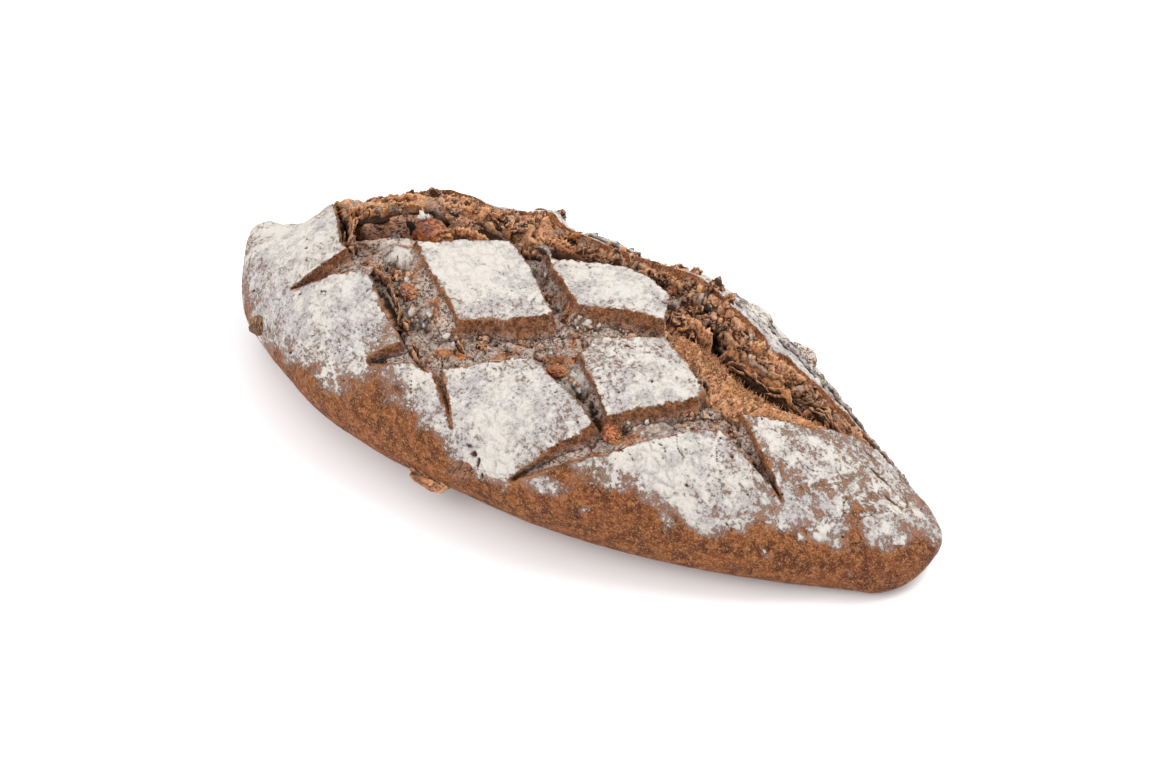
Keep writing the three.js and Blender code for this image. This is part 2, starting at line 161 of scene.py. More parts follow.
def curve_through(xs, ys, x):
    """Cubic Hermite curve through (xs, ys), each slope the weighted mean of its two neighbours."""
    xs, ys = np.array(xs, float), np.array(ys, float)
    gap = np.diff(xs)
    rise = np.diff(ys) / gap
    slope = np.concatenate([rise[:1], (rise[:-1] * gap[1:] + rise[1:] * gap[:-1]) / (gap[:-1] + gap[1:]),
                            rise[-1:]])
    i = np.clip(np.searchsorted(xs, x) - 1, 0, len(xs) - 2)
    t = (x - xs[i]) / gap[i]
    return (ys[i] * (1 + 2 * t) * (1 - t) ** 2 + slope[i] * gap[i] * t * (1 - t) ** 2
            + ys[i + 1] * t * t * (3 - 2 * t) + slope[i + 1] * gap[i] * t * t * (t - 1))


def signed_power(base, power):
    """|base| to a power, with the sign of base."""
    return np.sign(base) * np.abs(base) ** power


# %% [markdown]
# Every place on the skin is named by x, along the loaf, and by girth, the distance round it from the crown:
# negative down the scored flank, positive down the far one. Cuts and flour are easy to lay out in those two
# numbers, as on a label wrapped round a bottle. The way back to y and z is looked up in a table, which is
# quicker than solving for it.

# %% Unroll the skin into a table: y and z for each x and girth
TABLE_STEP = 0.5
TABLE_REACH = 200.0
SLOPE_REACH = 1.0


def unrolled_skin():
    """For each x, points round the section and the girth at each; then y and z at even steps of girth."""
    x = np.linspace(-HALF, HALF, int(2 * HALF / TABLE_STEP) + 1)[:, None]
    front, back, height = (curve_through(SECTION_X, w, x) for w in (FRONT, BACK, HEIGHT))
    end_radius = np.where(x < 0, BLUNT_END["radius"], POINTED_END["radius"])
    end_centre = np.where(x < 0, BLUNT_END["centre"], POINTED_END["centre"])
    end_aside = np.where(x < 0, BLUNT_END["aside"], POINTED_END["aside"])
    into_end = np.clip((np.abs(x) - (HALF - end_radius)) / end_radius, 0, 1)
    fullness = np.maximum(np.sqrt(1 - into_end ** 2), 1e-4)
    turn = np.linspace(-np.pi, np.pi, 721)[None, :]
    across = signed_power(np.sin(turn), 2 / SQUARENESS)
    up = signed_power(np.cos(turn), 2 / SQUARENESS)
    waist = WAIST * height
    z = waist + np.where(up > 0, (height - waist) * up, waist * UNDERCUT * up)
    bend = np.clip(0.5 + 0.5 * z / FOOT_RADIUS, 0, 1)
    z = z * bend + FOOT_RADIUS * bend * (1 - bend)
    y = across * np.where(across < 0, front, back)
    y = end_aside + (y - end_aside) * fullness - MIDDLE_Y
    z = end_centre + (z - end_centre) * fullness
    girth = np.concatenate([np.zeros_like(x), np.cumsum(np.hypot(np.diff(y), np.diff(z)), axis=1)], axis=1)
    girth -= girth[:, 360:361]
    steps = np.linspace(-TABLE_REACH, TABLE_REACH, int(2 * TABLE_REACH / TABLE_STEP) + 1)
    # All rows are looked up in one call: each row's girths are shifted clear of the row before.
    shift = 1000.0 * np.arange(len(x))[:, None]
    flat_girth = (girth + shift).ravel()
    wanted = (np.clip(steps[None, :], girth[:, :1], girth[:, -1:]) + shift).ravel()
    shape = (len(x), len(steps))
    table_y = np.interp(wanted, flat_girth, y.ravel()).reshape(shape)
    table_z = np.interp(wanted, flat_girth, z.ravel()).reshape(shape)
    return table_y, table_z, girth[:, 0], girth[:, -1]


SKIN_Y, SKIN_Z, FRONT_GIRTH, BACK_GIRTH = unrolled_skin()
TABLE_X = np.linspace(-HALF, HALF, len(FRONT_GIRTH))
print("girth of the fullest section: %.0f mm" % (BACK_GIRTH - FRONT_GIRTH).max())


def table_value(table, x, girth):
    """The table's value between its four nearest entries."""
    p = np.clip((x + HALF) / TABLE_STEP, 0, table.shape[0] - 1.001)
    q = np.clip((girth + TABLE_REACH) / TABLE_STEP, 0, table.shape[1] - 1.001)
    i, j = p.astype(int), q.astype(int)
    a, b = p - i, q - j
    return mix(mix(table[i, j], table[i + 1, j], a), mix(table[i, j + 1], table[i + 1, j + 1], a), b)


def skin(x, girth, lift=0.0):
    """Points (mm) at (x, girth), moved out of the skin by lift in the plane of the section."""
    x, girth = np.broadcast_arrays(np.asarray(x, float), np.asarray(girth, float))
    y, z = table_value(SKIN_Y, x, girth), table_value(SKIN_Z, x, girth)
    dy = table_value(SKIN_Y, x, girth + SLOPE_REACH) - table_value(SKIN_Y, x, girth - SLOPE_REACH)
    dz = table_value(SKIN_Z, x, girth + SLOPE_REACH) - table_value(SKIN_Z, x, girth - SLOPE_REACH)
    long = np.maximum(np.hypot(dy, dz), 1e-6)
    y, z = y - dz / long * lift, z + dy / long * lift
    into_lean = np.clip((BLUNT_LEAN["from"] - x) / (BLUNT_LEAN["from"] + HALF), 0, 1)
    lean = BLUNT_LEAN["foot"] * into_lean ** 2 * np.clip(1 - z / BLUNT_END["centre"], 0, 1)
    return np.stack([x + lean, y, z], axis=-1)

# %% [markdown]
# ## Where the knife and the oven went
# Each cut is a straight stroke from one place on the skin to another, with a width at each end and a depth.
# The tear is the gap between the tiles' far edges and a curled far lip. Both are laid out as in the solid.
# The walls of a cut stand steep and lean under a thin rim. Only the wall on the crown side of a rising cut
# slopes into view, because the blade went in at a slant there and the oven pushed the upper tile up and back.

# %% The cuts and the tear (x and girth in mm)
CUTS = {  # from, to, width at each end, depth
    "blunt_end_short": ((-101, -33), (-80, -16), (1, 17), 6.0),
    "first_falling": ((-86, -2), (-33, -37.5), (22, 20), 6.5),
    "first_rising_foot": ((-52, -52), (-28, -34), (3, 18), 5.0),
    "first_rising_middle": ((-34, -38), (4, -12), (17, 18), 6.5),
    "first_rising_top": ((2, -7), (28, 8), (17, 9), 6.5),
    "second_falling_top": ((-41, 25), (4, -8), (9, 9), 6.0),
    "second_falling_foot": ((2, -19), (37, -39), (15, 4), 6.0),
    "second_rising_foot": ((14, -69), (37, -42), (2, 10), 4.0),
    "second_rising_top": ((35, -43), (65, -9), (11, 12), 5.5),
    "third_falling": ((62, -8), (94, -20), (13, 1), 5.0),
    "front_tile_score": ((-31, -41), (-14, -60), (5, 1), 1.8),
}
CUT_WALL = {"steep": 1.0, "sloping": 3.0}  # widths of the two kinds of wall
CUT_FLOOR = {  # place as a share of the half width, from the foot side to the crown side: share of the depth
    "falling": ((-1, 1.0), (-0.1, 1.1), (0.8, 0.4), (1, 0.3)),
    "rising": ((-1, 0.35), (-0.82, 0.45), (0.1, 0.95), (0.56, 1.05), (1, 1.0)),
}
CUT_FULL_WIDTH = 5.0
CUT_UNDERCUT = 1.3
NEAR_EDGE = np.array([  # x, girth
    (-121, 18), (-95, -9), (-66, -1), (-41, 20), (-22, 20), (-2, 34), (22, 24), (30, 6), (58, -7), (70, -5),
    (100, 22), (118, 25)], float)
FAR_LIP = np.array([  # x, girth
    (-121, 19.5), (-106, 29), (-85, 36), (-50, 38), (0, 42), (30, 38), (45, 31), (65, 28), (90, 28),
    (118, 26)], float)
TEAR_DEPTH = 13.0
TEAR_END_TAPER = 26.0
# Crack and top of the far wall are shares of the way across; the rest are depths and a bend.
TEAR_SHAPE = np.array([  # x, crack, wall top, near wall, top of far wall, lip, near bend
    (-121, 0.40, 0.60, 2.0, 1.0, 0.8, 1.2), (-105, 0.26, 0.40, 2.0, 2.0, 1.0, 1.2),
    (-97, 0.25, 0.36, 2.5, 2.2, 1.0, 1.3), (-88, 0.34, 0.44, 4.5, 2.2, 1.2, 2.5),
    (-78, 0.47, 0.56, 5.0, 2.2, 1.2, 2.5), (-68, 0.61, 0.72, 6.5, 2.4, 1.5, 2.0),
    (-57, 0.60, 0.76, 8.0, 2.6, 1.8, 1.0), (-40, 0.50, 0.82, 8.0, 3.0, 2.4, 1.0),
    (0, 0.50, 0.98, 8.0, 3.2, 3.0, 1.0), (24, 0.54, 0.98, 7.0, 3.2, 3.0, 1.2),
    (36, 0.60, 0.98, 2.5, 3.2, 3.0, 3.2), (118, 0.60, 0.98, 2.5, 3.2, 3.0, 3.2),
])
SWELLINGS = [  # x, girth, radius, height
    (-128, 14, 13, -5.5), (-118, 14, 7, 5.5), (-100, 42, 12, -2.5), (-88, 34, 9, 1.5), (-62, 42, 8, -3.0),
    (-134, 22, 11, -2.5), (-40, 42, 7, 4.0), (22, 46, 12, 2.5), (47, 34, 11, 3.0), (-38, -52, 14, 1.5),
]


def tear_opening(x):
    """0 at the tips of the tear, 1 where it is fully open."""
    return step(np.minimum(x - NEAR_EDGE[0, 0], NEAR_EDGE[-1, 0] - x), 0, TEAR_END_TAPER)


def tear_sides(x):
    """Girth of the near edge and of the far lip."""
    near = np.interp(x, NEAR_EDGE[:, 0], NEAR_EDGE[:, 1])
    return near, np.maximum(np.interp(x, FAR_LIP[:, 0], FAR_LIP[:, 1]), near + 1)


def swell(x, girth):
    """Two slow waves, the named swellings (bell shapes) and the curl along the far lip."""
    height = 0.7 * np.sin(x / 17 + 1.3) * np.sin(girth / 13 + 0.4) + 0.45 * np.sin(x / 7.5 - girth / 9 + 2)
    for at_x, at_girth, radius, top in SWELLINGS:
        height = height + top * np.exp(-((x - at_x) ** 2 + (girth - at_girth) ** 2) / radius ** 2)
    past_lip = girth - tear_sides(x)[1]
    return height + np.where(past_lip > 0, tear_opening(x) * 2.0 * np.exp(-(past_lip / 5) ** 2), 0)


def on_loaf(x, girth, lift):
    """A place over the swollen skin."""
    return skin(x, girth, swell(x, girth) + lift)


def cut_field(x, girth):
    """For each place: depth of the deepest cut, the shift (in x and girth) that lets its steep wall undercut
    the rim, how far the place lies up its sloping wall (0 on the floor, 1 on the wall), and the distance
    outside the nearest cut's edge."""
    u = x + 0.8 * rough(x, girth, 16, 41, 2) + 0.32 * rough(x, girth, 5.0, 42, 4, 0.55)
    v = girth + 0.8 * rough(x, girth, 16, 77, 2) + 0.32 * rough(x, girth, 5.0, 78, 4, 0.55)
    depth, on_wall = np.zeros_like(u), np.zeros_like(u)
    shift = np.zeros(u.shape + (2,))
    outside = np.full(u.shape, 99.0)
    for start, end, width, deepest in CUTS.values():
        start, end = np.array(start, float), np.array(end, float)
        length = np.hypot(*(end - start))
        along = (end - start) / length
        t = ((u - start[0]) * along[0] + (v - start[1]) * along[1]) / length
        aside = -(u - start[0]) * along[1] + (v - start[1]) * along[0]
        half = mix(width[0], width[1], np.clip(t, 0, 1)) / 2
        beyond = np.maximum(np.maximum(-t, t - 1) * length, 0)
        inside = half - np.hypot(aside, beyond)
        slopes = (aside > 0) & (along[1] > 0)
        sloping = CUT_WALL["sloping"] * (1 + 0.45 * rough(u, v, 11, 43, 2))
        sloping = np.maximum(np.minimum(sloping, 0.7 * half), 0.5)
        wall = np.where(slopes, np.clip(inside / sloping, 0, 1) ** 0.8,
                        np.clip(inside / CUT_WALL["steep"], 0, 1))
        floor = np.array(CUT_FLOOR["rising" if along[1] > 0 else "falling"]).T
        here = deepest * np.minimum(1, 2 * half / CUT_FULL_WIDTH) * wall
        here = here * np.interp(aside / np.maximum(half, 0.1), *floor)
        under = CUT_UNDERCUT * np.minimum(1, half / 3) * step(inside, 0.3, 1.2)
        under = under * np.exp(-np.maximum(inside - 1.2, 0) / 2.5)
        under = under * step(here, 1.5, 4.5) * (1 + 0.9 * rough(u, v, 6, 45, 3))
        side = np.where(slopes, 0.2, np.sign(aside)) * under
        deeper = here > depth
        depth = np.where(deeper, here, depth)
        reach = np.where(slopes, 1 - step(inside / sloping, 0.45, 1.3), 0.8 * (1 - step(inside, 0.8, 1.8)))
        on_wall = np.where(deeper, reach * step(half, 0.8, 2.5), on_wall)
        shift[..., 0] = np.where(deeper, -along[1] * side, shift[..., 0])
        shift[..., 1] = np.where(deeper, along[0] * side, shift[..., 1])
        outside = np.minimum(outside, np.maximum(-inside, 0))
    return depth, shift, on_wall, outside


def tear_depth(x, share):
    """Depth at a share of the way across: a wall under the tiles or open crumb, the crack, then the far
    wall."""
    at = TEAR_SHAPE[:, 0]
    crack, wall_top, near_wall, top, lip, bend = (np.interp(x, at, column) for column in TEAR_SHAPE.T[1:])
    opening = tear_opening(x)
    deepest = TEAR_DEPTH * opening
    fall = mix(np.minimum(near_wall, deepest), deepest, np.clip(share / crack, 0, 1) ** bend)
    climb = mix(deepest, top * opening, step(share, crack, wall_top))
    ease = mix(top * opening, lip * opening, np.clip((share - wall_top) / (1 - wall_top), 0, 1))
    return np.where(share < crack, fall, np.where(share < wall_top, climb, ease))


def tear_wander(x, girth):
    """How far (mm) the torn edges wander."""
    return 1.3 * rough(x, 0 * x, 17, 5, 3) + 0.3 * rough(x, girth, 2.6, 9, 2)


def tear_field(x, girth):
    """Depth of the tear, and the share across it: 0 at the near edge, 1 at the far lip."""
    near, far = tear_sides(x)
    v = girth + tear_wander(x, girth)
    share = (v - near) / (far - near)
    edge = np.minimum(v - near, (far - v) / 0.9)
    return tear_depth(x, np.clip(share, 0, 1)) * step(edge, 0, 1), share


print(len(CUTS), "cuts, tear from x = %.0f to %.0f mm" % (NEAR_EDGE[0, 0], NEAR_EDGE[-1, 0]))

# %% [markdown]
# ## Where the flour lies
# The loaf was dusted from above before it was cut. So flour lies on the tiles, thins out down the flanks, is
# missing from everything that opened later, and fell back into the grooves only in patches. A density from 0
# to 1 is worked out here, and the material breaks it up into clots and speckles.

# %% Flour density
FLOUR_FOOT = np.array([  # x, girth
    (-140, -46), (-102, -54), (-65, -64), (-48, -54), (-35, -58), (-20, -66), (-3, -69), (21, -70), (37, -60),
    (48, -50), (62, -48), (82, -43), (96, -33), (113, -20), (132, -6), (140, 6)], float)
FLOUR_PATCHES = [  # x, girth, radius along and round, how much denser
    (-118, -8, 18, 16, 0.22), (-84, -38, 15, 12, 0.12), (-42, 0, 17, 13, 0.5), (0, 20, 17, 9, 0.42),
    (-56, 46, 16, 8, 0.5), (44, 46, 12, 8, 0.6), (72, 38, 14, 7, 0.55), (14, 52, 16, 7, 0.4),
    (-84, -32, 10, 8, 0.15), (3, -69, 9, 5, 0.6), (-7, -69, 4, 4, 0.45), (9, -65, 4, 3, 0.4),
    (32, -58, 9, 4, -0.4), (27, -66, 5, 3, 0.35), (72, -46, 4, 3, 0.4), (66, -52, 3, 3, 0.35),
    (60, -44, 5, 3, 0.3), (44, -14, 10, 9, 0.22), (28, -20, 8, 9, -0.06), (2, -46, 15, 9, 0.24),
    (6, -58, 10, 7, 0.14), (50, -36, 12, 9, 0.30), (62, -33, 12, 10, 0.16), (90, 0, 12, 10, 0.06),
    (78, -28, 9, 7, 0.12), (-48, -44, 8, 7, -0.25), (24, -60, 10, 8, -0.22), (70, -18, 8, 5, -0.15),
    (-72, -50, 9, 8, 0.05), (-34, -50, 8, 6, 0.10), (112, -8, 12, 9, -0.08), (-128, -36, 9, 12, -0.3),
    (-137, -20, 5, 12, -0.25), (35, -52, 8, 5, -0.2), (-100, -30, 7, 4, -0.12),
]


def flour_density(x, girth):
    """High on the top, falling to nothing below the foot on the scored flank and 80 mm down the far one."""
    foot = np.interp(x, FLOUR_FOOT[:, 0], FLOUR_FOOT[:, 1]) + 4.5 * rough(x, girth, 22, 31, 3)
    density = 0.66 * step(girth - foot, mix(-14.0, -5.0, step(x, -50, 10)), mix(9.0, 6.0, step(x, -50, 10)))
    density = density * (1 - 0.75 * step(girth + 8 * rough(x, girth, 20, 35, 3), 44, 84))
    density = mix(density, density * 0.86, step(x, 60, 84))
    for at_x, at_girth, along, around, more in FLOUR_PATCHES:
        away = ((x - at_x) / along) ** 2 + ((girth - at_girth) / around) ** 2
        density = density + more * np.exp(-away)
    splashes = step(rough(x, girth, 7, 57, 4), 0.4, 0.65) * step(girth, -84, -66) * step(x, -60, -10)
    clumpy = 0.55 * np.exp(-((density - 0.35) / 0.25) ** 2) + 0.22 * step(x, 60, 84)
    density = density + 0.1 * rough(x, girth, 14, 23, 3) + clumpy * rough(x, girth, 8, 59, 4, 0.65)
    return np.clip(density + 0.4 * splashes, 0, 1)


print("flour on the middle of the crown: %.2f" % flour_density(np.zeros(1), np.zeros(1))[0])

# %% [markdown]
# ## The crust as a height over the smooth loaf
# Every ring of the mesh follows the loaf's section. Its height over the smooth skin is the swelling, less the
# cuts and the tear, plus what makes bread look like bread: blisters and clots of flour on the tiles, hairline
# cracks, rims that curl up where a cut opened, and porous crumb on the floors. Under a tile's rim the wall is
# also shifted sideways, so that the rim overhangs, which a plain height can't do.

# %% Relief of the crust
def crumb_clumps(x, girth, seed):
    """Clumps of torn crumb, from about 0 in the creases to 1 on top: round cells of two sizes with crumbs on
    them, and how much of a crease each place is."""
    u, v = x + 0.9 * rough(x, girth, 4, seed, 3), girth + 0.9 * rough(x, girth, 4, seed + 1, 3)
    big, big_gap = cells(u, v, 4.4, seed + 2)
    small, small_gap = cells(u, v, 1.8, seed + 3)
    top = 0.62 * (1 - np.clip(big, 0, 1) ** 2) * step(big_gap - big, 0, 0.35)
    top = top + 0.38 * (1 - np.clip(small, 0, 1) ** 1.5)
    crease = np.maximum((1 - step(big_gap - big, 0.03, 0.2)), 0.6 * (1 - step(small_gap - small, 0.02, 0.15)))
    crease = crease * step(rough(x, girth, 6, seed + 5, 2), -0.4, 0.3)
    return top + 0.16 * rough(x, girth, 1.4, seed + 4, 2), crease


def crest_and_hollow(height, reach):
    """How far (0 to 1) each place stands over the mean of its neighbours within reach, and how far under."""
    mean = height
    for axis in (0, 1):
        run = np.cumsum(np.pad(mean, [(reach + 1, reach) if a == axis else (0, 0) for a in (0, 1)],
                               mode="edge"), axis=axis)
        size = mean.shape[axis]
        mean = (np.take(run, np.arange(2 * reach + 1, size + 2 * reach + 1), axis=axis)
                - np.take(run, np.arange(size), axis=axis)) / (2 * reach + 1)
    over = height - mean
    return step(over, 0.1, 0.8), step(-over, 0.1, 0.8)


# X, girth, radius along and round, height: rounded dough, ledges and hollows on the floors of the cuts.
FLOOR_MOUNDS = [
    (-74, -6, 7, 6, 2.2), (-84, -2, 3, 7, -1.6), (-66, -14, 3, 2, -1.6), (-64, -19, 5, 4, 1.2),
    (-54, -31, 7, 2.2, -3.0), (-68, -27, 6, 2.0, -2.2), (-47, -36, 5, 2.5, 1.4), (-44, -27, 7, 3, 1.0),
    (-22, -28, 9, 3, 1.2), (-8, -22, 6, 2.5, 1.5), (-14, -24, 12, 1.2, -1.6), (-24, 14, 3, 9, -1.6),
    (10, -27, 6, 3, 1.1), (18, -30, 4, 3, -1.4), (48, -30, 8, 3, 1.2), (58, -18, 6, 2, -1.5),
    (70, -12, 6, 3, 1.0), (12, 2, 7, 2, 1.0),
]
FLOOR_FLOUR = [  # the same for flour that fell on them
    (-72, -7, 5, 4, 0.8), (-66, -10, 6, 3, 0.4), (-50, -28, 6, 4, 0.5), (-20, -27, 10, 4, 0.3),
    (16, -26, 6, 5, 0.6), (3, -1, 5, 3, 0.5), (46, -29, 9, 4, 0.5), (58, -19, 7, 4, 0.3),
]
CAVES = [  # x, girth, radius along and across, depth: hollows of the tear, sunk and painted dark as shade
    (-95, 5, 8, 4.5, 8), (-84, 10, 7, 4.5, 6), (-109, 12, 1.8, 1.8, 3), (-77, 18, 4, 3, 4),
    (-66, 25, 6, 3, 5), (-59, 25, 5, 3, 6), (-48, 28, 5, 2.5, 4), (14, 37, 5, 3, 6), (27, 29, 6, 4, 6),
    (37, 24, 6, 4, 6), (44, 19, 6, 3.4, 5), (52, 18, 7, 3.2, 5), (60, 18, 7, 3, 5), (70, 20, 7, 3, 5),
    (80, 22, 6, 2.6, 5), (90, 24, 6, 2.0, 4), (-20, 34, 9, 3, 4), (-4, 37, 8, 2.4, 4),
]
OLD_CRACKS = [  # x, girth, radius along and round, depth: short cracks in the crust
    (-5, -63.5, 1.4, 0.6, 1.2), (-2, -65.5, 1.0, 1.0, 1.8), (0, -68, 0.6, 1.8, 1.8),
    (1.8, -72.5, 0.6, 1.2, 1.2), (7, -66, 0.4, 1.8, 0.6), (113, 14, 4.5, 0.7, 1.2), (120, 9, 4.0, 0.6, 0.9),
    (106, 19, 3.5, 0.6, 0.8), (-72, -39, 2.2, 0.5, 0.5), (-66, -45, 2.0, 0.5, 0.4),
    (-52, -9, 0.4, 3.0, 0.5),
]


def bells(spots, x, girth):
    """Sum of bell shapes: height * exp(-(dx/along)^2 - (dg/across)^2)."""
    return sum(top * np.exp(-((x - at_x) / along) ** 2 - ((girth - at_girth) / across) ** 2)
               for at_x, at_girth, along, across, top in spots)


def crust_relief(x, girth):
    """Height, sideways shift and the named fields that the material reads."""
    cut, shift, on_wall, outside = cut_field(x, girth)
    tear, share = tear_field(x, girth)
    in_tear = step(tear, 0.5, 2.0)
    tile = 1 - np.maximum(step(cut, 0.1, 0.7), step(tear, 0.1, 0.7))
    near, far = tear_sides(x)
    opening = step(tear_opening(x), 0.02, 0.1)
    to_tear = mix(99.0, np.abs(girth + tear_wander(x, girth) - near), opening)
    to_edge = np.minimum(outside, to_tear)
    past_lip = mix(-99.0, girth + tear_wander(x, girth) - far, opening)

    # Flour clots 4.8 and 1.7 mm across where it lies thick, a curled rim, and blisters of 12 mm.
    flour = flour_density(x, girth)
    clotted = step(flour + 0.3 * rough(x, girth, 11, 71, 2), 0.62, 0.95)
    clot, clot_gap = cells(x + rough(x, girth, 4, 88, 2), girth + rough(x, girth, 4, 89, 2), 4.8, 12)
    fine_clot, _ = cells(x + 0.5 * rough(x, girth, 2, 90, 2), girth, 1.7, 19)
    clots = clotted * (0.75 * (1 - np.clip(clot, 0, 1) ** 2) * step(clot_gap - clot, 0.02, 0.22)
                       + 0.14 * (1 - fine_clot))
    rim = (0.3 + 0.5 * rough(x, girth, 16, 61, 2)) * np.exp(-(to_edge / 2.2) ** 2)
    blister = 0.55 * rough(x, girth, 12, 3, 3) + 0.16 * rough(x, girth, 2.4, 17, 3)
    # Hairline cracks along the crests of a ridged noise, round pits about 8 mm apart, and the listed cracks.
    line = ridge(x + 2.5 * rough(x, girth, 8, 91, 2), girth, 17, 29, 1)
    crack = step(line, 0.968, 0.995) * step(rough(x, girth, 19, 37, 2), 0.0, 0.3) * step(girth, -70, -50)
    flaw, _ = cells(x + 0.4 * girth + rough(x, girth, 3, 34, 2), girth - 0.3 * x, 8.0, 33)
    flaw_size = 0.02 + 0.09 * step(rough(x, girth, 9, 39, 2), 0.2, 0.8)
    pit = step(flaw, flaw_size, 0.5 * flaw_size)
    split = bells(OLD_CRACKS, x, girth)
    crust = rim + blister + clots - 0.9 * crack - 0.8 * pit - split
    crack = np.maximum(crack, 0.9 * step(split, 0.35, 0.9))

    # Beyond the far lip the crust peeled in strips: each step down is the edge of one.
    peel = past_lip / 4.6 + 0.7 * rough(x * 0.5, girth, 13, 141, 2)
    strip = peel - np.floor(peel)
    peeled = step(past_lip, 1.5, 4) * (1 - step(past_lip, 13, 17))
    peeled = peeled * step(rough(x, 0 * x, 21, 143, 2), -0.25, 0.1)
    crust = crust - 1.3 * peeled * step(strip, 0.82, 0.97)
    gap = peeled * step(strip, 0.84, 0.97) * step(rough(x, girth, 9, 145, 3), -0.35, 0.15)

    # The floors of the cuts are clumps of crumb with mounds, their walls are finely grained, with a crease
    # below.
    clump, crease = crumb_clumps(x, girth, 101)
    crumb_floor = 0.9 * clump - 0.4 + 1.5 * rough(x, girth, 7, 105, 5, 0.62) + bells(FLOOR_MOUNDS, x, girth)
    crumb_floor = crumb_floor * step(cut, 1.5, 5) * (1 - 0.8 * on_wall)
    wall_grain = 0.5 * rough(x, girth, 2.4, 107, 3, 0.6) * on_wall

    foot_crease = np.exp(-((on_wall - 0.18) / 0.12) ** 2) * step(cut, 2.5, 4.5)
    floor = crumb_floor + wall_grain - 0.7 * foot_crease
    # In the tear the crust is sunk out of the way of the torn surface.
    sunk = 1.4 * in_tear + 7 * step(tear, 3, 9) + 1.3 * bells(CAVES, x, girth) * step(tear, 1.5, 5)
    height = swell(x, girth) + crust * tile - np.maximum(cut, tear + sunk) + floor * (1 - in_tear)
    crest, hollow = crest_and_hollow(height, 3)
    flour_rim = step(to_edge + 0.6 * rough(x, girth, 2.4, 67, 3), 0.05, 0.5)
    flour_rim = flour_rim * step(np.abs(past_lip), 0.3, 0.9)
    worn_edge = step(rough(x, girth, 13, 65, 3), -0.05, 0.5)
    # Flour that spilt on the floors, in patches of 10 mm.
    spilt = step(rough(x, girth, 10, 121, 3), 0.0, 0.5) * step(rough(x, girth, 2.2, 123, 2), -0.5, 0.3)
    on_floor = (1 - tile) * (1 - in_tear) * (1 - on_wall)
    # Painted shade: cracks, pits, the gaps between peeled strips, the crease at the foot of each wall and the
    # creases, hollows and pores of the floors are darkened through the dark field. Painted highlight: the
    # crests of the floors are lightened through the crest field.
    crack_shade = np.maximum(0.75 * crack, 0.35 * pit) * tile
    pores = 0.7 * step(rough(x, girth, 3.4, 137, 3), 0.33, 0.6)
    floor_shade = on_floor * np.maximum(np.maximum(0.4 * crease, 0.9 * hollow), pores)
    cut_shade = (1 - tile) * np.maximum(0.8 * foot_crease, floor_shade)
    fields = {
        "flour": flour * tile * flour_rim * (1 - 0.8 * crack) * (1 - pit) * (1 - 0.9 * gap)
                 + on_floor * (0.06 + 0.22 * spilt + 0.2 * step(clump, 0.5, 0.9)
                               + bells(FLOOR_FLOUR, x, girth))
                 + (1 - tile) * (1 - in_tear) * on_wall * 0.2 * step(rough(x, girth, 5, 125, 3), -0.2, 0.5),
        "crumb": np.maximum(step(cut, 0.4, 2.2), in_tear),
        "toast": in_tear * 0.6
                 + 0.9 * (1 - in_tear) * (1 - tile) * step(rough(x, girth, 8, 133, 4), 0.12, 0.4),
        "wall": on_wall * (1 - in_tear),
        "rim": np.exp(-(to_edge / 0.45) ** 2) * step(to_edge, -0.1, 0.05) * tile * worn_edge,
        "dark": np.maximum(crack_shade, np.maximum(gap, cut_shade)),
        "crest": crest * on_floor,
    }
    return height, shift, fields


print(len(FLOOR_MOUNDS), "mounds on the floors,", len(CAVES), "caves,", len(OLD_CRACKS), "short cracks")

# %% [markdown]
# ## From grids of points to meshes
# Every piece below is one grid of points or many: rings round the loaf, a strip, sheets, fibres or balls. A
# mesh could be built one vertex at a time, but whole arrays are quick. The rows and columns of a grid run so
# that its faces look outwards. What the material has to know of a place, such as how much flour lies there,
# goes into a named attribute of the mesh, and one that a piece doesn't have reads as 0.

# %% Grids of points to a mesh
def mesh_from_grids(name, grids, wrap=False, caps=None, fields=None):
    """One mesh from a stack of grids of points in mm (grid, row, column, xyz). wrap joins each grid's last
    column to its first; caps (grid, 2, xyz) closes the two ends of its rows with a point each. Fields have
    one value a point."""
    count, rows, columns = grids.shape[:3]
    index = np.arange(count * rows * columns).reshape(count, rows, columns)
    right = np.roll(index, -1, axis=2) if wrap else index[:, :, 1:]
    left = index if wrap else index[:, :, :-1]
    quads = np.stack([left[:, :-1], left[:, 1:], right[:, 1:], right[:, :-1]], axis=-1).reshape(-1, 4)
    coords = grids.reshape(-1, 3)
    triangles = np.zeros((0, 3), int)
    if caps is not None:
        first = (len(coords) + 2 * np.arange(count))[:, None] + np.zeros((1, columns), int)
        coords = np.concatenate([coords, np.reshape(caps, (-1, 3))])
        near_ring, far_ring = index[:, 0], index[:, -1]
        triangles = np.concatenate([
            np.stack([first, near_ring, np.roll(near_ring, -1, axis=1)], axis=-1).reshape(-1, 3),
            np.stack([first + 1, np.roll(far_ring, -1, axis=1), far_ring], axis=-1).reshape(-1, 3)])
    mesh = bpy.data.meshes.new(name)
    mesh.vertices.add(len(coords))
    mesh.vertices.foreach_set("co", (coords * MM).astype(np.float32).ravel())
    loops = np.concatenate([quads.ravel(), triangles.ravel()])
    starts = np.concatenate([np.arange(len(quads)) * 4, len(quads) * 4 + np.arange(len(triangles)) * 3])
    mesh.loops.add(len(loops))
    mesh.loops.foreach_set("vertex_index", loops.astype(np.int32))
    mesh.polygons.add(len(starts))
    mesh.polygons.foreach_set("loop_start", starts.astype(np.int32))
    mesh.update(calc_edges=True)
    mesh.validate()
    for field, values in (fields or {}).items():
        values = np.broadcast_to(values, grids.shape[:3])
        if caps is not None:
            ends = np.stack([values[:, 0, 0], values[:, -1, 0]], axis=-1)
            values = np.concatenate([values.ravel(), ends.ravel()])
        attribute = mesh.attributes.new(field, "FLOAT", "POINT")
        attribute.data.foreach_set("value", values.astype(np.float32).ravel())
    mesh.shade_smooth()
    piece = bpy.data.objects.new(name, mesh)
    bpy.context.scene.collection.objects.link(piece)
    return piece


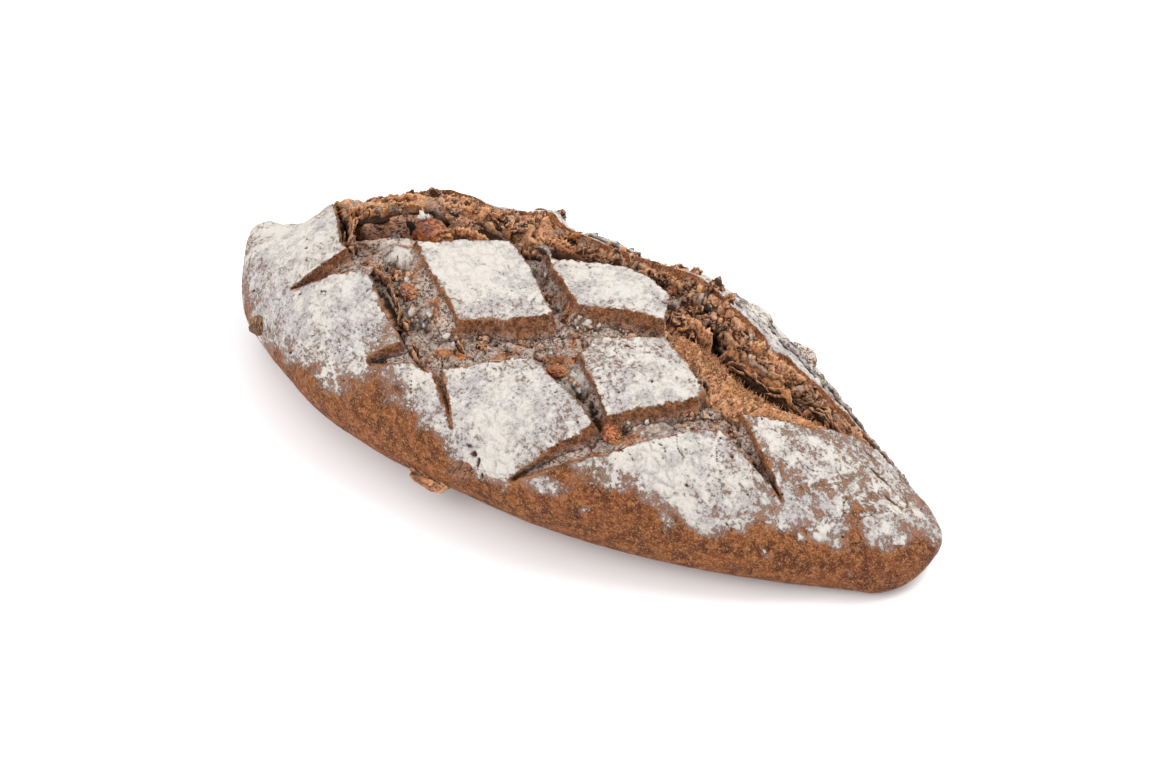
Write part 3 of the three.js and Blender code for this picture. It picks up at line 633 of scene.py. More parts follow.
def count_triangles(piece):
    """How many triangles the piece's mesh comes to."""
    piece.data.calc_loop_triangles()
    return len(piece.data.loop_triangles)


def ball_grid(rows, columns):
    """Unit vectors over a ball, without its two poles: rows from the top down, columns round."""
    down = np.pi * (np.arange(rows) + 0.5)[:, None] / rows
    turn = 2 * np.pi * np.arange(columns)[None, :] / columns
    return np.stack([np.sin(down) * np.cos(turn), np.sin(down) * np.sin(turn), np.cos(down) + 0 * turn],
                    axis=-1)


print("a ball of 7 rows and 10 columns has", ball_grid(7, 10)[..., 0].size + 2, "points")

# %% [markdown]
# ### The crust piece
# The crust is one closed skin of rings along the loaf, with points about half a millimetre apart over the
# scored top and further apart underneath, where nothing shows. A subdivided copy of the solid would need far
# more triangles for the same rims, because its rows of points don't run along them.

# %% The crust: rings along the loaf
FINE = 0.45  # mm between points over the scored top
COARSE = 2.4
FRONT_REACH, BACK_REACH, NOMINAL_GIRTH = 92.0, 74.0, 165.0  # points are fine that far round, of a half girth


def girth_columns(whole, reach):
    """Shares of the way from the crown to under the middle: evenly fine to reach, coarse beyond."""
    fine = np.linspace(0, reach, int(reach / FINE) + 1)
    rest = np.linspace(reach, whole, int((whole - reach) / COARSE) + 1)[1:]
    return np.concatenate([fine, rest]) / whole


def crust_rings():
    """Grid of (x, girth): the rows are spaced evenly, and closer towards the tips, where the loaf turns
    in."""
    rows = int(2 * HALF / FINE)
    t = (np.arange(rows) + 0.5) / rows * 2 - 1
    x = HALF * np.sign(t) * (1 - (1 - np.abs(t)) ** 1.12)
    front = girth_columns(NOMINAL_GIRTH, FRONT_REACH)[::-1] * -1
    back = girth_columns(NOMINAL_GIRTH, BACK_REACH)[1:-1]
    shares = np.concatenate([front, back])
    whole = np.where(shares[None, :] < 0, -np.interp(x, TABLE_X, FRONT_GIRTH)[:, None],
                     np.interp(x, TABLE_X, BACK_GIRTH)[:, None])
    across = np.abs(shares)[None, :] + 0 * whole
    return np.broadcast_to(x[:, None], whole.shape), shares[None, :] * whole, across


ring_x, ring_girth, ring_share = crust_rings()
height, shift, crust_fields = crust_relief(ring_x, ring_girth)
calm = step(1 - ring_share, 0.35, 0.5)
tip_calm = step(HALF - np.abs(ring_x), 0.3, 7.0)
skin_grain = 0.12 * rough(ring_x, ring_girth, 5.0, 203, 3)
lift = (height * calm + skin_grain * (1 - calm)) * tip_calm
crust_points = skin(ring_x + shift[..., 0] * calm, ring_girth + shift[..., 1] * calm, lift)
crust_points[..., 2] = np.maximum(crust_points[..., 2], 0)
tips = [(-HALF, BLUNT_END["aside"] - MIDDLE_Y, BLUNT_END["centre"]),
        (HALF, POINTED_END["aside"] - MIDDLE_Y, POINTED_END["centre"])]
crust = mesh_from_grids("crust", crust_points[None], wrap=True, caps=np.array([tips]), fields=crust_fields)
print("crust:", count_triangles(crust), "triangles before thinning")

# %% [markdown]
# The fine grid holds far more points than a calm stretch of crust needs. Decimate merges those and keeps the
# ones along rims and crags.

# %% Thin out the calm stretches
CRUST_TRIANGLES = 190000


def thin_out(piece, wanted):
    """Collapse edges until the piece has about the wanted number of triangles, and keep the result as its
    mesh."""
    share = wanted / count_triangles(piece)
    if share >= 1:
        return
    modifier = piece.modifiers.new("thin_out", "DECIMATE")
    modifier.ratio = share
    modifier.use_collapse_triangulate = True
    thinned = bpy.data.meshes.new_from_object(piece.evaluated_get(bpy.context.evaluated_depsgraph_get()))
    piece.modifiers.clear()
    thinned.name = piece.name
    piece.data = thinned


thin_out(crust, CRUST_TRIANGLES)
print("crust:", count_triangles(crust), "triangles, with the fields", ", ".join(crust_fields))

# %% [markdown]
# ## Materials
# Bread has no gloss worth the name, so its looks are colour, grain and bump. The patterns could be painted on
# an image, but nodes on Object coordinates need no unwrapping and stay sharp up close. Colours are written as
# sRGB hex, as a picker gives them, and turned to linear. Pattern sizes are in millimetres, and a texture's
# scale is how many of its bumps fit in a metre. A colour is built as a baker would see it come about: a
# ground, then coats over it.

# %% Colours and nodes
def linear(hex_colour):
    """sRGB hex to linear RGBA."""
    c = np.array([int(hex_colour[i:i + 2], 16) / 255 for i in (0, 2, 4)])
    c = np.where(c <= 0.04045, c / 12.92, ((c + 0.055) / 1.055) ** 2.4)
    return (*c.tolist(), 1.0)


def add(tree, kind, inputs=None, **settings):
    """Adds a node: settings go on the node itself, inputs fill its sockets with a value or a link."""
    made = tree.nodes.new(kind)
    for key, value in settings.items():
        setattr(made, key, value)
    for key, value in (inputs or {}).items():
        if isinstance(value, bpy.types.NodeSocket):
            tree.links.new(value, made.inputs[key])
        else:
            made.inputs[key].default_value = value
    return made


def new_material(name):
    """An empty material and its node tree."""
    material = bpy.data.materials.new(name)
    material.use_nodes = True
    material.node_tree.nodes.clear()
    return material, material.node_tree


def patterns_on(tree, noises, fields, sums):
    """Sockets by name: noises from 0 to 1 on Object coordinates, the fields of the mesh, and weighted sums of
    both."""
    place = add(tree, "ShaderNodeTexCoord").outputs["Object"]
    found = {}
    for name, (size_mm, detail, roughness) in noises.items():
        found[name] = add(tree, "ShaderNodeTexNoise", {
            "Vector": place, "Scale": 1000.0 / size_mm, "Detail": detail,
            "Roughness": roughness}).outputs["Fac"]
    for name in fields:
        found[name] = add(tree, "ShaderNodeAttribute", attribute_name=name).outputs["Fac"]
    for name, weights in sums.items():
        total = 0.0
        for part, weight in weights.items():
            total = add(tree, "ShaderNodeMath", {0: found[part], 1: weight, 2: total},
                        operation="MULTIPLY_ADD").outputs["Value"]
        found[name] = total
    return found


def lay_over(tree, ground, layers):
    """Lays colours over a ground one after another. Each has a share from 0 to 1 and how much of that share
    counts. Sockets 0, 6 and 7 of a colour mix are its share and its two colours."""
    for share, most, colour in layers:
        share = add(tree, "ShaderNodeMath", {0: share, 1: most}, operation="MULTIPLY").outputs["Value"]
        colour = linear(colour) if isinstance(colour, str) else colour
        ground = add(tree, "ShaderNodeMix", {0: share, 6: ground, 7: colour}, data_type="RGBA").outputs[2]
    return ground


def lay_coats(tree, ground, patterns, coats):
    """The same for coats, whose share eases from least to most as a pattern goes from low to high."""
    layers = []
    for pattern, low, high, least, most, colour in coats:
        eased = add(tree, "ShaderNodeMapRange", {
            "Value": patterns[pattern], "From Min": low, "From Max": high, "To Min": least, "To Max": most},
            interpolation_type="SMOOTHSTEP")
        layers.append((eased.outputs["Result"], 1.0, colour))
    return lay_over(tree, ground, layers)


print("a mid grey of 808080 is %.3f in linear light" % linear("808080")[0])

# %% [markdown]
# ### Floured crust of rye and wheat
# The crust browned by baking is a dull red brown with a fine grain of lighter and darker specks, under a
# millimetre across. Flour lies over it in clots and speckles: the density worked out above is broken up by
# noise of four sizes, so that a half-covered place turns into a fine speckle under a thin veil. Where a cut
# opened, the crumb shows instead: grey brown with pores in the cuts, toasted orange brown in the tear. Each
# could be a material of its own, but they run into one another, and it is all one dough. So one recipe covers
# the crust and every torn piece, and the fields of each mesh say what a place shows.

# %% Crust and crumb material
# Real flour is finer than the finest noise here, but would not show.
BREAD_NOISES = {  # size of the bumps (mm), detail, roughness
    "broad": (24.0, 2.0, 0.55), "patch": (6.0, 3.0, 0.6), "mottle": (2.2, 3.0, 0.6),
    "powder": (1.5, 5.0, 0.78), "speck": (0.95, 2.0, 0.6), "dust": (0.5, 2.0, 0.55),
}
# The dark field is mostly painted shade and the crest field mostly a painted highlight.
BREAD_FIELDS = ("flour", "crumb", "toast", "wall", "rim", "dark", "crest")
BREAD_SUMS = {
    "grit": {"speck": 0.5, "dust": 0.5},
    "pores": {"mottle": 0.4, "speck": 0.6},
    "broken": {"flour": 1.0, "patch": 0.55, "powder": 2.1, "dust": 0.2},
    "thickness": {"flour": 1.0, "patch": 1.6, "broad": 0.6, "powder": 1.2},
    "relief": {"speck": 0.6, "dust": 0.45, "powder": 1.1},
}
BREAD_SHADES = {  # finish: ground, then coats of pattern, low, high, least, most, colour
    "baked_crust": ("7a4428", [
        ("broad", 0.35, 0.65, 0, 1, "7e4b25"), ("patch", 0.42, 0.6, 0, 1, "552c17"),
        ("mottle", 0.48, 0.66, 0, 0.8, "a06840"), ("grit", 0.36, 0.49, 0.75, 0, "452413"),
        ("grit", 0.51, 0.62, 0, 0.6, "aa7444"), ("dust", 0.62, 0.7, 0, 0.55, "cda47e")]),
    "grey_crumb": ("452c1f", [("pores", 0.41, 0.57, 0, 1, "cbb0a0"), ("dust", 0.54, 0.64, 0, 0.8, "ddd2c9")]),
    "toasted_crumb": ("371809", [
        ("pores", 0.41, 0.57, 0, 1, "c27c48"), ("patch", 0.46, 0.62, 0, 0.7, "c07236"),
        ("dust", 0.58, 0.7, 0, 0.75, "d0a684")]),
    "stretched_wall": ("5f3a26", [
        ("mottle", 0.36, 0.62, 0, 1, "9a694a"), ("grit", 0.38, 0.5, 0.7, 0, "47291a"),
        ("dust", 0.62, 0.7, 0, 0.7, "c8ab95")]),
    "lit_crumb": ("d28c54", [("grit", 0.4, 0.62, 0, 1, "fbc99a")]),
    "lying_flour": ("b1acaa", [
        ("broad", 0.4, 0.6, 0, 1, "b5afa8"), ("grit", 0.38, 0.5, 0.5, 0, "85756c"),
        ("thickness", 2.3, 2.75, 0, 1, "cbc5bd"), ("grit", 0.38, 0.47, 0.25, 0, "8f8076")]),
}
PAINTED_HIGHLIGHT_CRUMB, RIM_CRUST, DUSTED_CRUMB, FLOUR_VEIL, DEEP_SHADE = "c0aea2", "b58a66", "bba79a", "9c897e", "1f1008"


def bread_material(name):
    """Crust where the crumb field is 0 and torn crumb where it is 1, under a veil and a broken cover of
    flour."""
    material, tree = new_material(name)
    p = patterns_on(tree, BREAD_NOISES, BREAD_FIELDS, BREAD_SUMS)
    shades = {finish: lay_coats(tree, linear(ground), p, coats)
              for finish, (ground, coats) in BREAD_SHADES.items()}
    # Painted highlight: where the crest field is high, grey crumb turns pale and toasted crumb a light
    # orange.
    lit = lay_over(tree, linear(PAINTED_HIGHLIGHT_CRUMB), [(p["toast"], 1.0, shades["lit_crumb"])])
    torn = lay_over(tree, shades["grey_crumb"], [
        (p["toast"], 1.0, shades["toasted_crumb"]), (p["wall"], 1.0, shades["stretched_wall"]),
        (p["crest"], 0.8, lit)])
    bare = lay_over(tree, shades["baked_crust"], [(p["crumb"], 1.0, torn), (p["rim"], 0.6, RIM_CRUST)])

    # Flour lies where density and noise add up, and a little sooner where it lies thick.
    thick = add(tree, "ShaderNodeMapRange", {"Value": p["thickness"], "From Min": 2.3, "From Max": 2.75},
                interpolation_type="SMOOTHSTEP").outputs["Result"]
    heaped = add(tree, "ShaderNodeMath", {0: thick, 1: 0.25, 2: p["broken"]},
                 operation="MULTIPLY_ADD").outputs["Value"]
    cover = add(tree, "ShaderNodeMapRange", {"Value": heaped, "From Min": 1.80, "From Max": 2.05},
                interpolation_type="SMOOTHSTEP").outputs["Result"]
    thin = add(tree, "ShaderNodeMapRange", {"Value": thick, "To Min": 0.55, "To Max": 0.1},
               interpolation_type="SMOOTHSTEP").outputs["Result"]
    flour = lay_over(tree, shades["lying_flour"], [(thin, p["crumb"], DUSTED_CRUMB)])
    # Painted shade: the dark field darkens the colour towards DEEP_SHADE.
    painted_shade = add(tree, "ShaderNodeMapRange", {"Value": p["dark"], "From Max": 0.95,
                                            "To Max": 0.97}).outputs["Result"]
    colour = lay_coats(tree, bare, p, [("flour", 0.08, 0.6, 0, 0.5, FLOUR_VEIL)])
    colour = lay_over(tree, colour, [(cover, 0.96, flour), (painted_shade, 1.0, DEEP_SHADE)])

    height = add(tree, "ShaderNodeMath", {0: cover, 1: 0.3, 2: p["relief"]},
                 operation="MULTIPLY_ADD").outputs["Value"]
    by_cover = {}
    for what, least, most in (("bump", 1.0, 0.75), ("roughness", 0.74, 0.95)):  # on bare crust, under flour
        by_cover[what] = add(tree, "ShaderNodeMapRange", {"Value": cover, "To Min": least, "To Max": most},
                             interpolation_type="SMOOTHSTEP").outputs["Result"]
    bump = add(tree, "ShaderNodeBump", {"Height": height, "Strength": by_cover["bump"], "Distance": 0.9 * MM})
    shader = add(tree, "ShaderNodeBsdfPrincipled", {
        "Base Color": colour, "Roughness": by_cover["roughness"], "Normal": bump.outputs["Normal"],
        "Specular IOR Level": 0.22, "IOR": 1.45})
    add(tree, "ShaderNodeOutputMaterial", {"Surface": shader.outputs["BSDF"]})
    print(name, "has", len(tree.nodes), "nodes")
    return material


bread = bread_material("floured_rye_bread")
crust.data.materials.append(bread)
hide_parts("loaf")
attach(crust, "root")
print("crust takes the place of the loaf's solid")

# %% [markdown]
# ## The torn crumb
# In the tear the dough was pulled apart while it was still soft, and it set in sheets, ledges and tufts that
# lean and overhang. A height over the skin can't show those, so the torn surface is a piece of its own: a
# strip that runs from under the near edge, down to the crack and up to the far lip. It is moved along its own
# normal, and the crust below it is sunk out of sight. On the far wall a saw-tooth wave makes ledges that come
# out slowly and drop back at once; the crumb beside the open stretch is fibrous; and a few named hollows are
# the caves, sunk and painted dark as shade. Ledges, fibres and crests get a painted highlight.

# %% Torn crumb
TORN_STEP = 0.42
TORN_COLUMNS = 128
TORN_FROM, TORN_TO = -119.5, 116.5
# x, girth, radius along and across, strength: spots of torn crumb given a painted highlight
PAINTED_HIGHLIGHT_SPOTS = [(-104, 12, 9, 6, 0.7), (-90, 26, 10, 8, 0.6), (48, 6, 16, 6, 0.4), (70, 8, 12, 6, 0.4),
                (-50, 33, 7, 3, 0.4)]
MOUNDS = [  # x, girth, radius along and across, height
    (-76, 0, 9, 7, 1.5), (50, 5, 13, 7, 1.6), (70, 6, 9, 6, 1.5), (84, 14, 8, 5, 1.2),
    (-66, 6, 5, 4, 1.0), (24, 18, 5, 5, 1.6), (-40, 33, 4, 3, 2.0), (2, 39, 5, 3, 2.4), (13, 39, 4, 3, 2.6),
    (24, 36, 5, 3, 3.0), (46, 26, 7, 4, 1.6), (64, 24, 6, 4, 1.4),
]


def torn_base(x, columns):
    """Points across the tear at even steps along its profile, with their girth, share and distance from the
    edge."""
    near, far = tear_sides(x)
    u = np.linspace(0, 1, 400)[None, :]
    girth = near[:, None] - 0.9 + u * (far - near + 1.6)[:, None]
    share = (girth - near[:, None]) / (far - near)[:, None]
    edge = np.minimum(girth - near[:, None] + 0.9, (far[:, None] + 0.9 - girth))
    depth = tear_depth(x[:, None], np.clip(share, 0, 1)) * step(edge, 0, 1.2) + 0.5
    cut = cut_field(x[:, None] + 0 * girth, girth)[0]
    depth = np.maximum(depth, (cut + 1.5) * (1 - step(girth - near[:, None], 0, 7)) * step(cut, 1, 3))
    lengths = np.hypot(np.diff(girth, axis=1), np.diff(depth, axis=1))
    length = np.concatenate([np.zeros((len(x), 1)), np.cumsum(lengths, axis=1)], axis=1)
    jump = 1000.0 * np.arange(len(x))[:, None]
    even = np.linspace(0, 1, columns)[None, :] * length[:, -1:]
    wanted, known = (even + jump).ravel(), (length + jump).ravel()
    girth, depth, share = (np.interp(wanted, known,
                                     np.broadcast_to(f, length.shape).ravel()).reshape(even.shape)
                           for f in (girth, depth, share))
    return girth, depth, share, even


def normals_of(points):
    """Unit normals of a grid of points: the cross product of its two sets of differences."""
    normal = np.cross(np.gradient(points, axis=0), np.gradient(points, axis=1))
    return normal / np.maximum(np.linalg.norm(normal, axis=-1, keepdims=True), 1e-9)


def torn_relief(x, girth, share, s):
    """How far the torn surface comes out along its normal, and the fields its material reads."""
    crack = np.interp(x, TEAR_SHAPE[:, 0], TEAR_SHAPE[:, 1])
    to_lip = s.max(axis=1, keepdims=True) - s
    left = 1 - step(x, -30, 0)
    hill = step(x, 26, 40) * (1 - step(share, 0.42, 0.62))
    far_wall = step(share, crack - 0.02, crack + 0.06)
    phase = -to_lip / mix(5.2, 6.4, left) + 0.8 * rough(x, s, 24, 151, 2)
    phase = phase + 0.25 * rough(x * 0.6, s, 7, 153, 2)
    saw = phase - np.floor(phase)
    tooth = saw ** 1.4 * (1 - step(saw, 0.86, 1.0))
    reach = mix(1.6, 3.4, left) * step(rough(x, s, 22, 155, 2), -0.6, 0.2)
    ledges = reach * tooth * far_wall
    clump, crease = crumb_clumps(x, s, 157)
    fibre = ridge((x * 0.55 + s * 0.83) / 3.2, (x * 0.83 - s * 0.55), 1.7, 161, 3)
    fibres = hill * (1.7 * fibre + 0.9 * rough(x, s, 6, 163, 3))
    crags = (1 - hill) * (mix(2.4, 1.5, left) * clump - 1.0) + 1.1 * rough(x, s, 6, 169, 5, 0.6)
    platform = left * (1 - step(share, 0.22, 0.36)) * step(x, -98, -86)
    smooth = left * far_wall
    crags = crags * (1 - 0.55 * platform) * (1 - 0.6 * smooth)
    caves = bells(CAVES, x, girth)
    edge = step(s, 0.5, 4) * step(to_lip, 0.0, 2.0)
    out = (ledges + fibres + crags + bells(MOUNDS, x, girth)) * edge - caves
    crest, hollow = crest_and_hollow(out, 3)
    # Painted highlight: the ledges of the far wall, the fibres of the hill, the crests and the listed spots
    # get the lit crumb colour, more toast and a little flour. Painted shade: the caves, the line of the
    # crack, the creases and the hollows are darkened.
    bright = bells(PAINTED_HIGHLIGHT_SPOTS, x, girth) * (0.75 + 0.5 * rough(x, s, 4, 171, 3))
    lit = np.clip(0.8 * tooth * far_wall + 0.9 * hill * fibre + 0.6 * crest + bright, 0, 1)
    fields = {
        "flour": 0.7 * platform * step(rough(x, s, 8, 175, 3), -0.15, 0.3) + 0.08
                 + (0.2 + 0.35 * step(rough(x, s, 12, 177, 3), -0.1, 0.4)) * lit * (1 - 0.6 * hill),
        "crumb": 1.0,
        "toast": np.clip(mix(0.75 + 0.25 * lit, 0.15, platform), 0, 1),
        "dark": np.clip(caves / 3.2 + 0.7 * np.exp(-((share - crack) / 0.09) ** 2)
                        + 0.3 * crease * (1 - hill) + hollow, 0, 0.95),
        "crest": lit,
    }
    return out, fields


rows = int((TORN_TO - TORN_FROM) / TORN_STEP)
torn_x = np.linspace(TORN_FROM, TORN_TO, rows)
torn_girth, torn_down, torn_share, torn_s = torn_base(torn_x, TORN_COLUMNS)
torn_grid_x = torn_x[:, None] + 0 * torn_girth
shifted = torn_girth - tear_wander(torn_grid_x, torn_girth)
torn_points = skin(torn_grid_x, shifted, swell(torn_grid_x, shifted) - torn_down)
torn_out, torn_fields = torn_relief(torn_grid_x, torn_girth, torn_share, torn_s)
torn_points = torn_points + normals_of(torn_points) * torn_out[..., None]
torn = mesh_from_grids("torn_crumb", torn_points[None], fields=torn_fields)
torn.data.materials.append(bread)
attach(torn, "root")
print("torn crumb:", count_triangles(torn), "triangles")

# %% [markdown]
# ### Sheets, strands, tufts and crumbs
# What stands free in the tear is added to the torn surface: sheets of dough stretched along the tear, thin at
# their ragged upper edge; strands beside the tile over the first cut; tufts of fibres on the open crumb; and
# loose crumbs. A sheet runs between a lower and an upper path. Each path is a few places on the skin with
# their lift, and the sheet between them is bowed, roughened and given a thickness that fades towards its
# upper edge. Solidify could give the thickness, but not one that thins out to a ragged edge.

# %% Sheets and strands
SHEETS = [  # lower path, upper path (x, girth, lift), thickness, bow, flour
    (((-102, 5, -4), (-92, 8, -4.6), (-85, 14, -5), (-78, 19, -5)),
     ((-103, 8, 0), (-92, 11, 0.6), (-85, 17, 1.4), (-77, 20, 0)), 1.6, -1.4, 0.1),
    (((-110, 11, -4), (-98, 12, -4), (-88, 20, -3)),
     ((-110, 12, 0.4), (-98, 10, 1.2), (-88, 19, 1.6)), 1.6, 0.4, 0.1),
    (((-106, 17, -3), (-94, 20, -3), (-84, 27, -3)),
     ((-106, 18, 0.6), (-94, 19, 1.6), (-84, 26, 1.6)), 1.4, 0.3, 0.15),
    (((-76, 22, -9), (-67, 26, -9), (-57, 26, -8), (-47, 28, -8)),
     ((-77, 21, -1), (-68, 31, 0.4), (-57, 33, 0.6), (-43, 33, 0)), 1.6, -1.2, 0.1),
    (((-72, 19, -11), (-62, 21, -11), (-52, 24, -10)),
     ((-71, 20, -6), (-62, 23, -5), (-52, 26, -4.5)), 1.4, 0.6, 0.1),
    (((-80, 26, -3), (-66, 33, -2), (-50, 36, -2)),
     ((-80, 27, 1.0), (-66, 35, 1.4), (-50, 38, 1.2)), 1.3, 0.2, 0.2),
    (((-115, 15, -3), (-104, 6, -5), (-96, -3, -6)),
     ((-114, 15, -0.4), (-103, 8, -2), (-95, -1, -3)), 1.2, 0.3, 0.2),
    (((-117, 18, -2), (-106, 11, -4), (-98, 3, -6)),
     ((-116, 18, 0.2), (-105, 12, -1.2), (-97, 4, -3)), 1.2, 0.3, 0.1),
    (((-64, -26, -6), (-56, -31, -6.4), (-50, -35, -6)),
     ((-65, -29, -1.6), (-56, -35, -1.2), (-48, -39, -1.8)), 1.0, 0.7, 0.3),
    (((-36, 35, -9), (-20, 38, -8), (0, 40, -8), (12, 40, -7)),
     ((-36, 40, -1.4), (-20, 43, 0), (0, 43.5, 0.6), (14, 43, 1)), 1.5, -0.8, 0.1),
    (((-42, 30, -6), (-28, 33, -7), (-12, 37, -7)),
     ((-42, 33, -2), (-28, 37, -2), (-12, 40, -2.5)), 1.2, 0.5, 0.1),
    (((10, 36, -9), (20, 33, -10), (30, 29, -10)),
     ((10, 39, -2), (20, 38, -1.5), (30, 36, -2)), 1.8, -1.0, 0.05),
    (((28, 22, -10), (34, 21, -11), (42, 21, -10)),
     ((28, 25, -4), (34, 24, -3.4), (43, 24, -4.4)), 1.8, 1.6, 0.05),
    (((44, 20, -11), (60, 19, -11), (76, 21, -10)),
     ((44, 25, -4.5), (60, 24, -4.6), (76, 25, -4)), 1.5, 0.8, 0.05),
    (((50, 25, -6), (62, 25, -6), (74, 25, -5)),
     ((50, 29, 0.6), (62, 28, 0.2), (74, 27.5, 0)), 1.4, 0.6, 0.15),
    (((78, 21, -9), (90, 23, -7), (104, 25, -3)),
     ((77, 24, -4), (90, 25, -2.6), (105, 26, -0.4)), 1.0, 0.5, 0.1),
    (((82, 19, -8), (93, 22, -6), (106, 25, -2.5)),
     ((81, 21, -4.4), (93, 23.4, -3), (107, 25.4, -0.4)), 0.9, 0.5, 0.1),
    (((86, 24, -5), (96, 25, -4), (110, 26, -2)),
     ((85, 27, -0.6), (96, 27, 0), (111, 26.6, 0.4)), 0.9, 0.3, 0.3),
    # Flakes of crust: a spike and a curl at the corners of the second tile, a lobe and strips along the far
    # lip.
    (((-33, 22, -0.8), (-28, 21, -0.6), (-24, 19, -0.4)),
     ((-32, 25, 0.8), (-29, 24, 0.6), (-24, 20, 0.4)), 0.8, 0.4, 0.5),
    (((20, 19, -0.8), (23, 19, -0.6), (27, 20, -0.6)),
     ((20, 22, 0.6), (24, 23, 1.2), (28, 23, 1.4)), 0.9, 0.6, 0.5),
    (((36, 41, -0.5), (44, 37, -0.5), (56, 33, -0.5)),
     ((36, 43, 1.6), (44, 39.5, 1.9), (55, 35, 1.6)), 1.6, 0.9, 0.75),
    (((30, 46, -0.5), (44, 42, -0.5), (60, 37, -0.5)),
     ((31, 49, 1.4), (44, 45, 1.8), (60, 39.5, 1.4)), 1.2, 0.8, 0.6),
    (((56, 36, -0.5), (70, 33, -0.5), (84, 31, -0.5)),
     ((56, 40, 2.0), (70, 36.5, 2.2), (84, 33.5, 1.6)), 1.2, 0.8, 0.6),
    (((72, 34, -0.5), (86, 32, -0.5), (100, 31, -0.5)),
     ((72, 38, 1.6), (86, 35.5, 1.9), (100, 33, 1.4)), 1.2, 0.8, 0.5),
    (((-30, 47, -0.5), (-18, 49, -0.5), (-4, 48, -0.5)),
     ((-30, 51, 1.8), (-18, 53, 2.2), (-4, 52, 1.6)), 1.2, 0.8, 0.7),
    (((96, 28, -1), (108, 26, -1), (122, 25, -1)),
     ((96, 30, 1.1), (108, 28.4, 1.2), (122, 26.6, 0.6)), 0.9, 0.4, 0.45),
]
FLAKE_LINES = [  # from, to (x, girth), how many, length, height, lift of the foot, how far it leans, flour
    ((-74, -17), (-38, -43), 16, 6.0, 2.6, -4.0, 1.2, 0.25),
    ((-72, -12), (-48, -30), 12, 4.5, 1.3, -5.4, 0.8, 0.2),
    ((-108, 8), (-88, -12), 14, 5.0, 2.4, -3.6, 1.0, 0.3),
    ((-80, 4), (-66, -22), 10, 4.5, 1.6, -5.2, 0.8, 0.5),
    ((-58, 36), (40, 38), 18, 6.0, 1.8, -2.4, 1.0, 0.25), ((32, 6), (58, -5), 10, 4.0, 1.2, -2.0, 0.8, 0.3),
    ((44, 14), (92, 21), 12, 7.0, 1.8, -4.5, -0.8, 0.2),
    ((-40, 21), (-24, 21), 8, 4.0, 1.8, -3.5, 0.8, 0.3), ((-42, 17), (-28, 4), 8, 4.0, 1.5, -3.2, 0.8, 0.3),
    ((-118, 16), (-90, 34), 22, 5.0, 2.0, -0.6, 0.8, 0.2),
    ((-80, 30), (-44, 36), 16, 5.5, 1.8, -0.8, 0.8, 0.25),
    ((-20, -33), (0, -22), 8, 4.0, 1.2, -5.0, 0.8, 0.3),
    ((-32, -36), (-18, -28), 6, 4.5, 1.4, -4.8, 0.8, 0.15),
    ((70, 20), (112, 26), 8, 9.0, 1.6, -1.8, -0.6, 0.25),
    ((-2, 36), (22, 27), 10, 4.5, 1.8, -3.5, 1.0, 0.25), ((22, 24), (31, 8), 8, 4.0, 2.0, -3.0, 1.0, 0.3),
]
SHEET_GRID, FLAKE_GRID = (((110, 15), (26, 6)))


def path_at(path, t):
    """Places along a path of (x, girth, lift), at even shares t of it, on a smooth curve."""
    stops = np.linspace(0, 1, len(path))
    return np.stack([curve_through(stops, column, t) for column in zip(*path)], axis=-1)


def flake_paths(seed):
    """Short sheets strewn along the flake lines, each turned a little out of the line and leaning across
    it."""
    rng = np.random.default_rng(seed)
    made = []
    for start, end, count, length, height, lift, lean, flour in FLAKE_LINES:
        start, end = np.array(start, float), np.array(end, float)
        along = (end - start) / np.hypot(*(end - start))
        for share in rng.uniform(0, 1, count):
            turn = rng.normal(0, 0.45)
            way = np.array((along[0] * math.cos(turn) - along[1] * math.sin(turn),
                            along[0] * math.sin(turn) + along[1] * math.cos(turn)))
            across = np.array((-way[1], way[0]))
            middle = start + (end - start) * share + across * rng.normal(0, 0.9)
            reach = 0.5 * length * rng.uniform(0.5, 1.3)
            tall, foot = height * rng.uniform(0.5, 1.3), lift + rng.normal(0, 0.5)
            low = [(*(middle + way * reach * t + across * 0.4 * rng.normal()), foot - 1.0)
                   for t in (-1, 0, 1)]
            high = [(*(middle + way * reach * t + across * lean * rng.uniform(0.3, 1.4)),
                     foot + tall * rng.uniform(0.6, 1.3)) for t in (-0.9, 0, 0.9)]
            made.append((low, high, rng.uniform(0.5, 1.0), rng.normal(0, 0.4), flour))
    return made


def sheet_grid(low, high, thick, bow, seed, size):
    """Closed cross-sections of a sheet, up its front and down its back: centre surface moved by half the
    thickness along its normal to each side. Its height falls to nothing at both ends, and its upper edge is
    ragged."""
    t = np.linspace(0, 1, size[0])
    low, high = path_at(low, t)[:, None], path_at(high, t)[:, None]
    ragged = 1 + (0.3 + 0.15 / thick) * rough(high[..., 0], high[..., 1], 4.0, seed, 4, 0.7)
    tall = np.minimum(step(t, -0.02, 0.16), 1 - step(t, 0.84, 1.02))[:, None] * ragged
    w = np.linspace(0, 1, size[1])[None, :]
    place = low + (high - low) * (w * tall)[..., None]
    where = place[..., 0], place[..., 1] + place[..., 2]
    lift = place[..., 2] + bow * 4 * w * (1 - w) * 0.4 + 0.7 * rough(*where, 6, seed + 1, 3) * w
    ragged = 1.1 * rough(*where, 5, seed + 2, 4, 0.6) * (0.35 + 0.65 * w)
    girth = place[..., 1] - bow * 4 * w * (1 - w) + ragged
    centre = skin(place[..., 0], girth, lift + swell(place[..., 0], girth) * 0.6)
    half = 0.5 * thick * (1 - 0.78 * w) * np.minimum(1, 6 * np.minimum(t, 1 - t)[:, None] + 0.15)
    half = half * (1 + 0.5 * rough(*where, 2.4, seed + 3, 2))
    normal = normals_of(centre) * half[..., None]
    closed = np.concatenate([centre + normal, (centre - normal)[:, ::-1]], axis=1)
    share = np.concatenate([w, w[:, ::-1]], axis=1) + 0 * closed[..., 0]
    return closed, share, rough(*where, 2.2, seed + 4, 3)


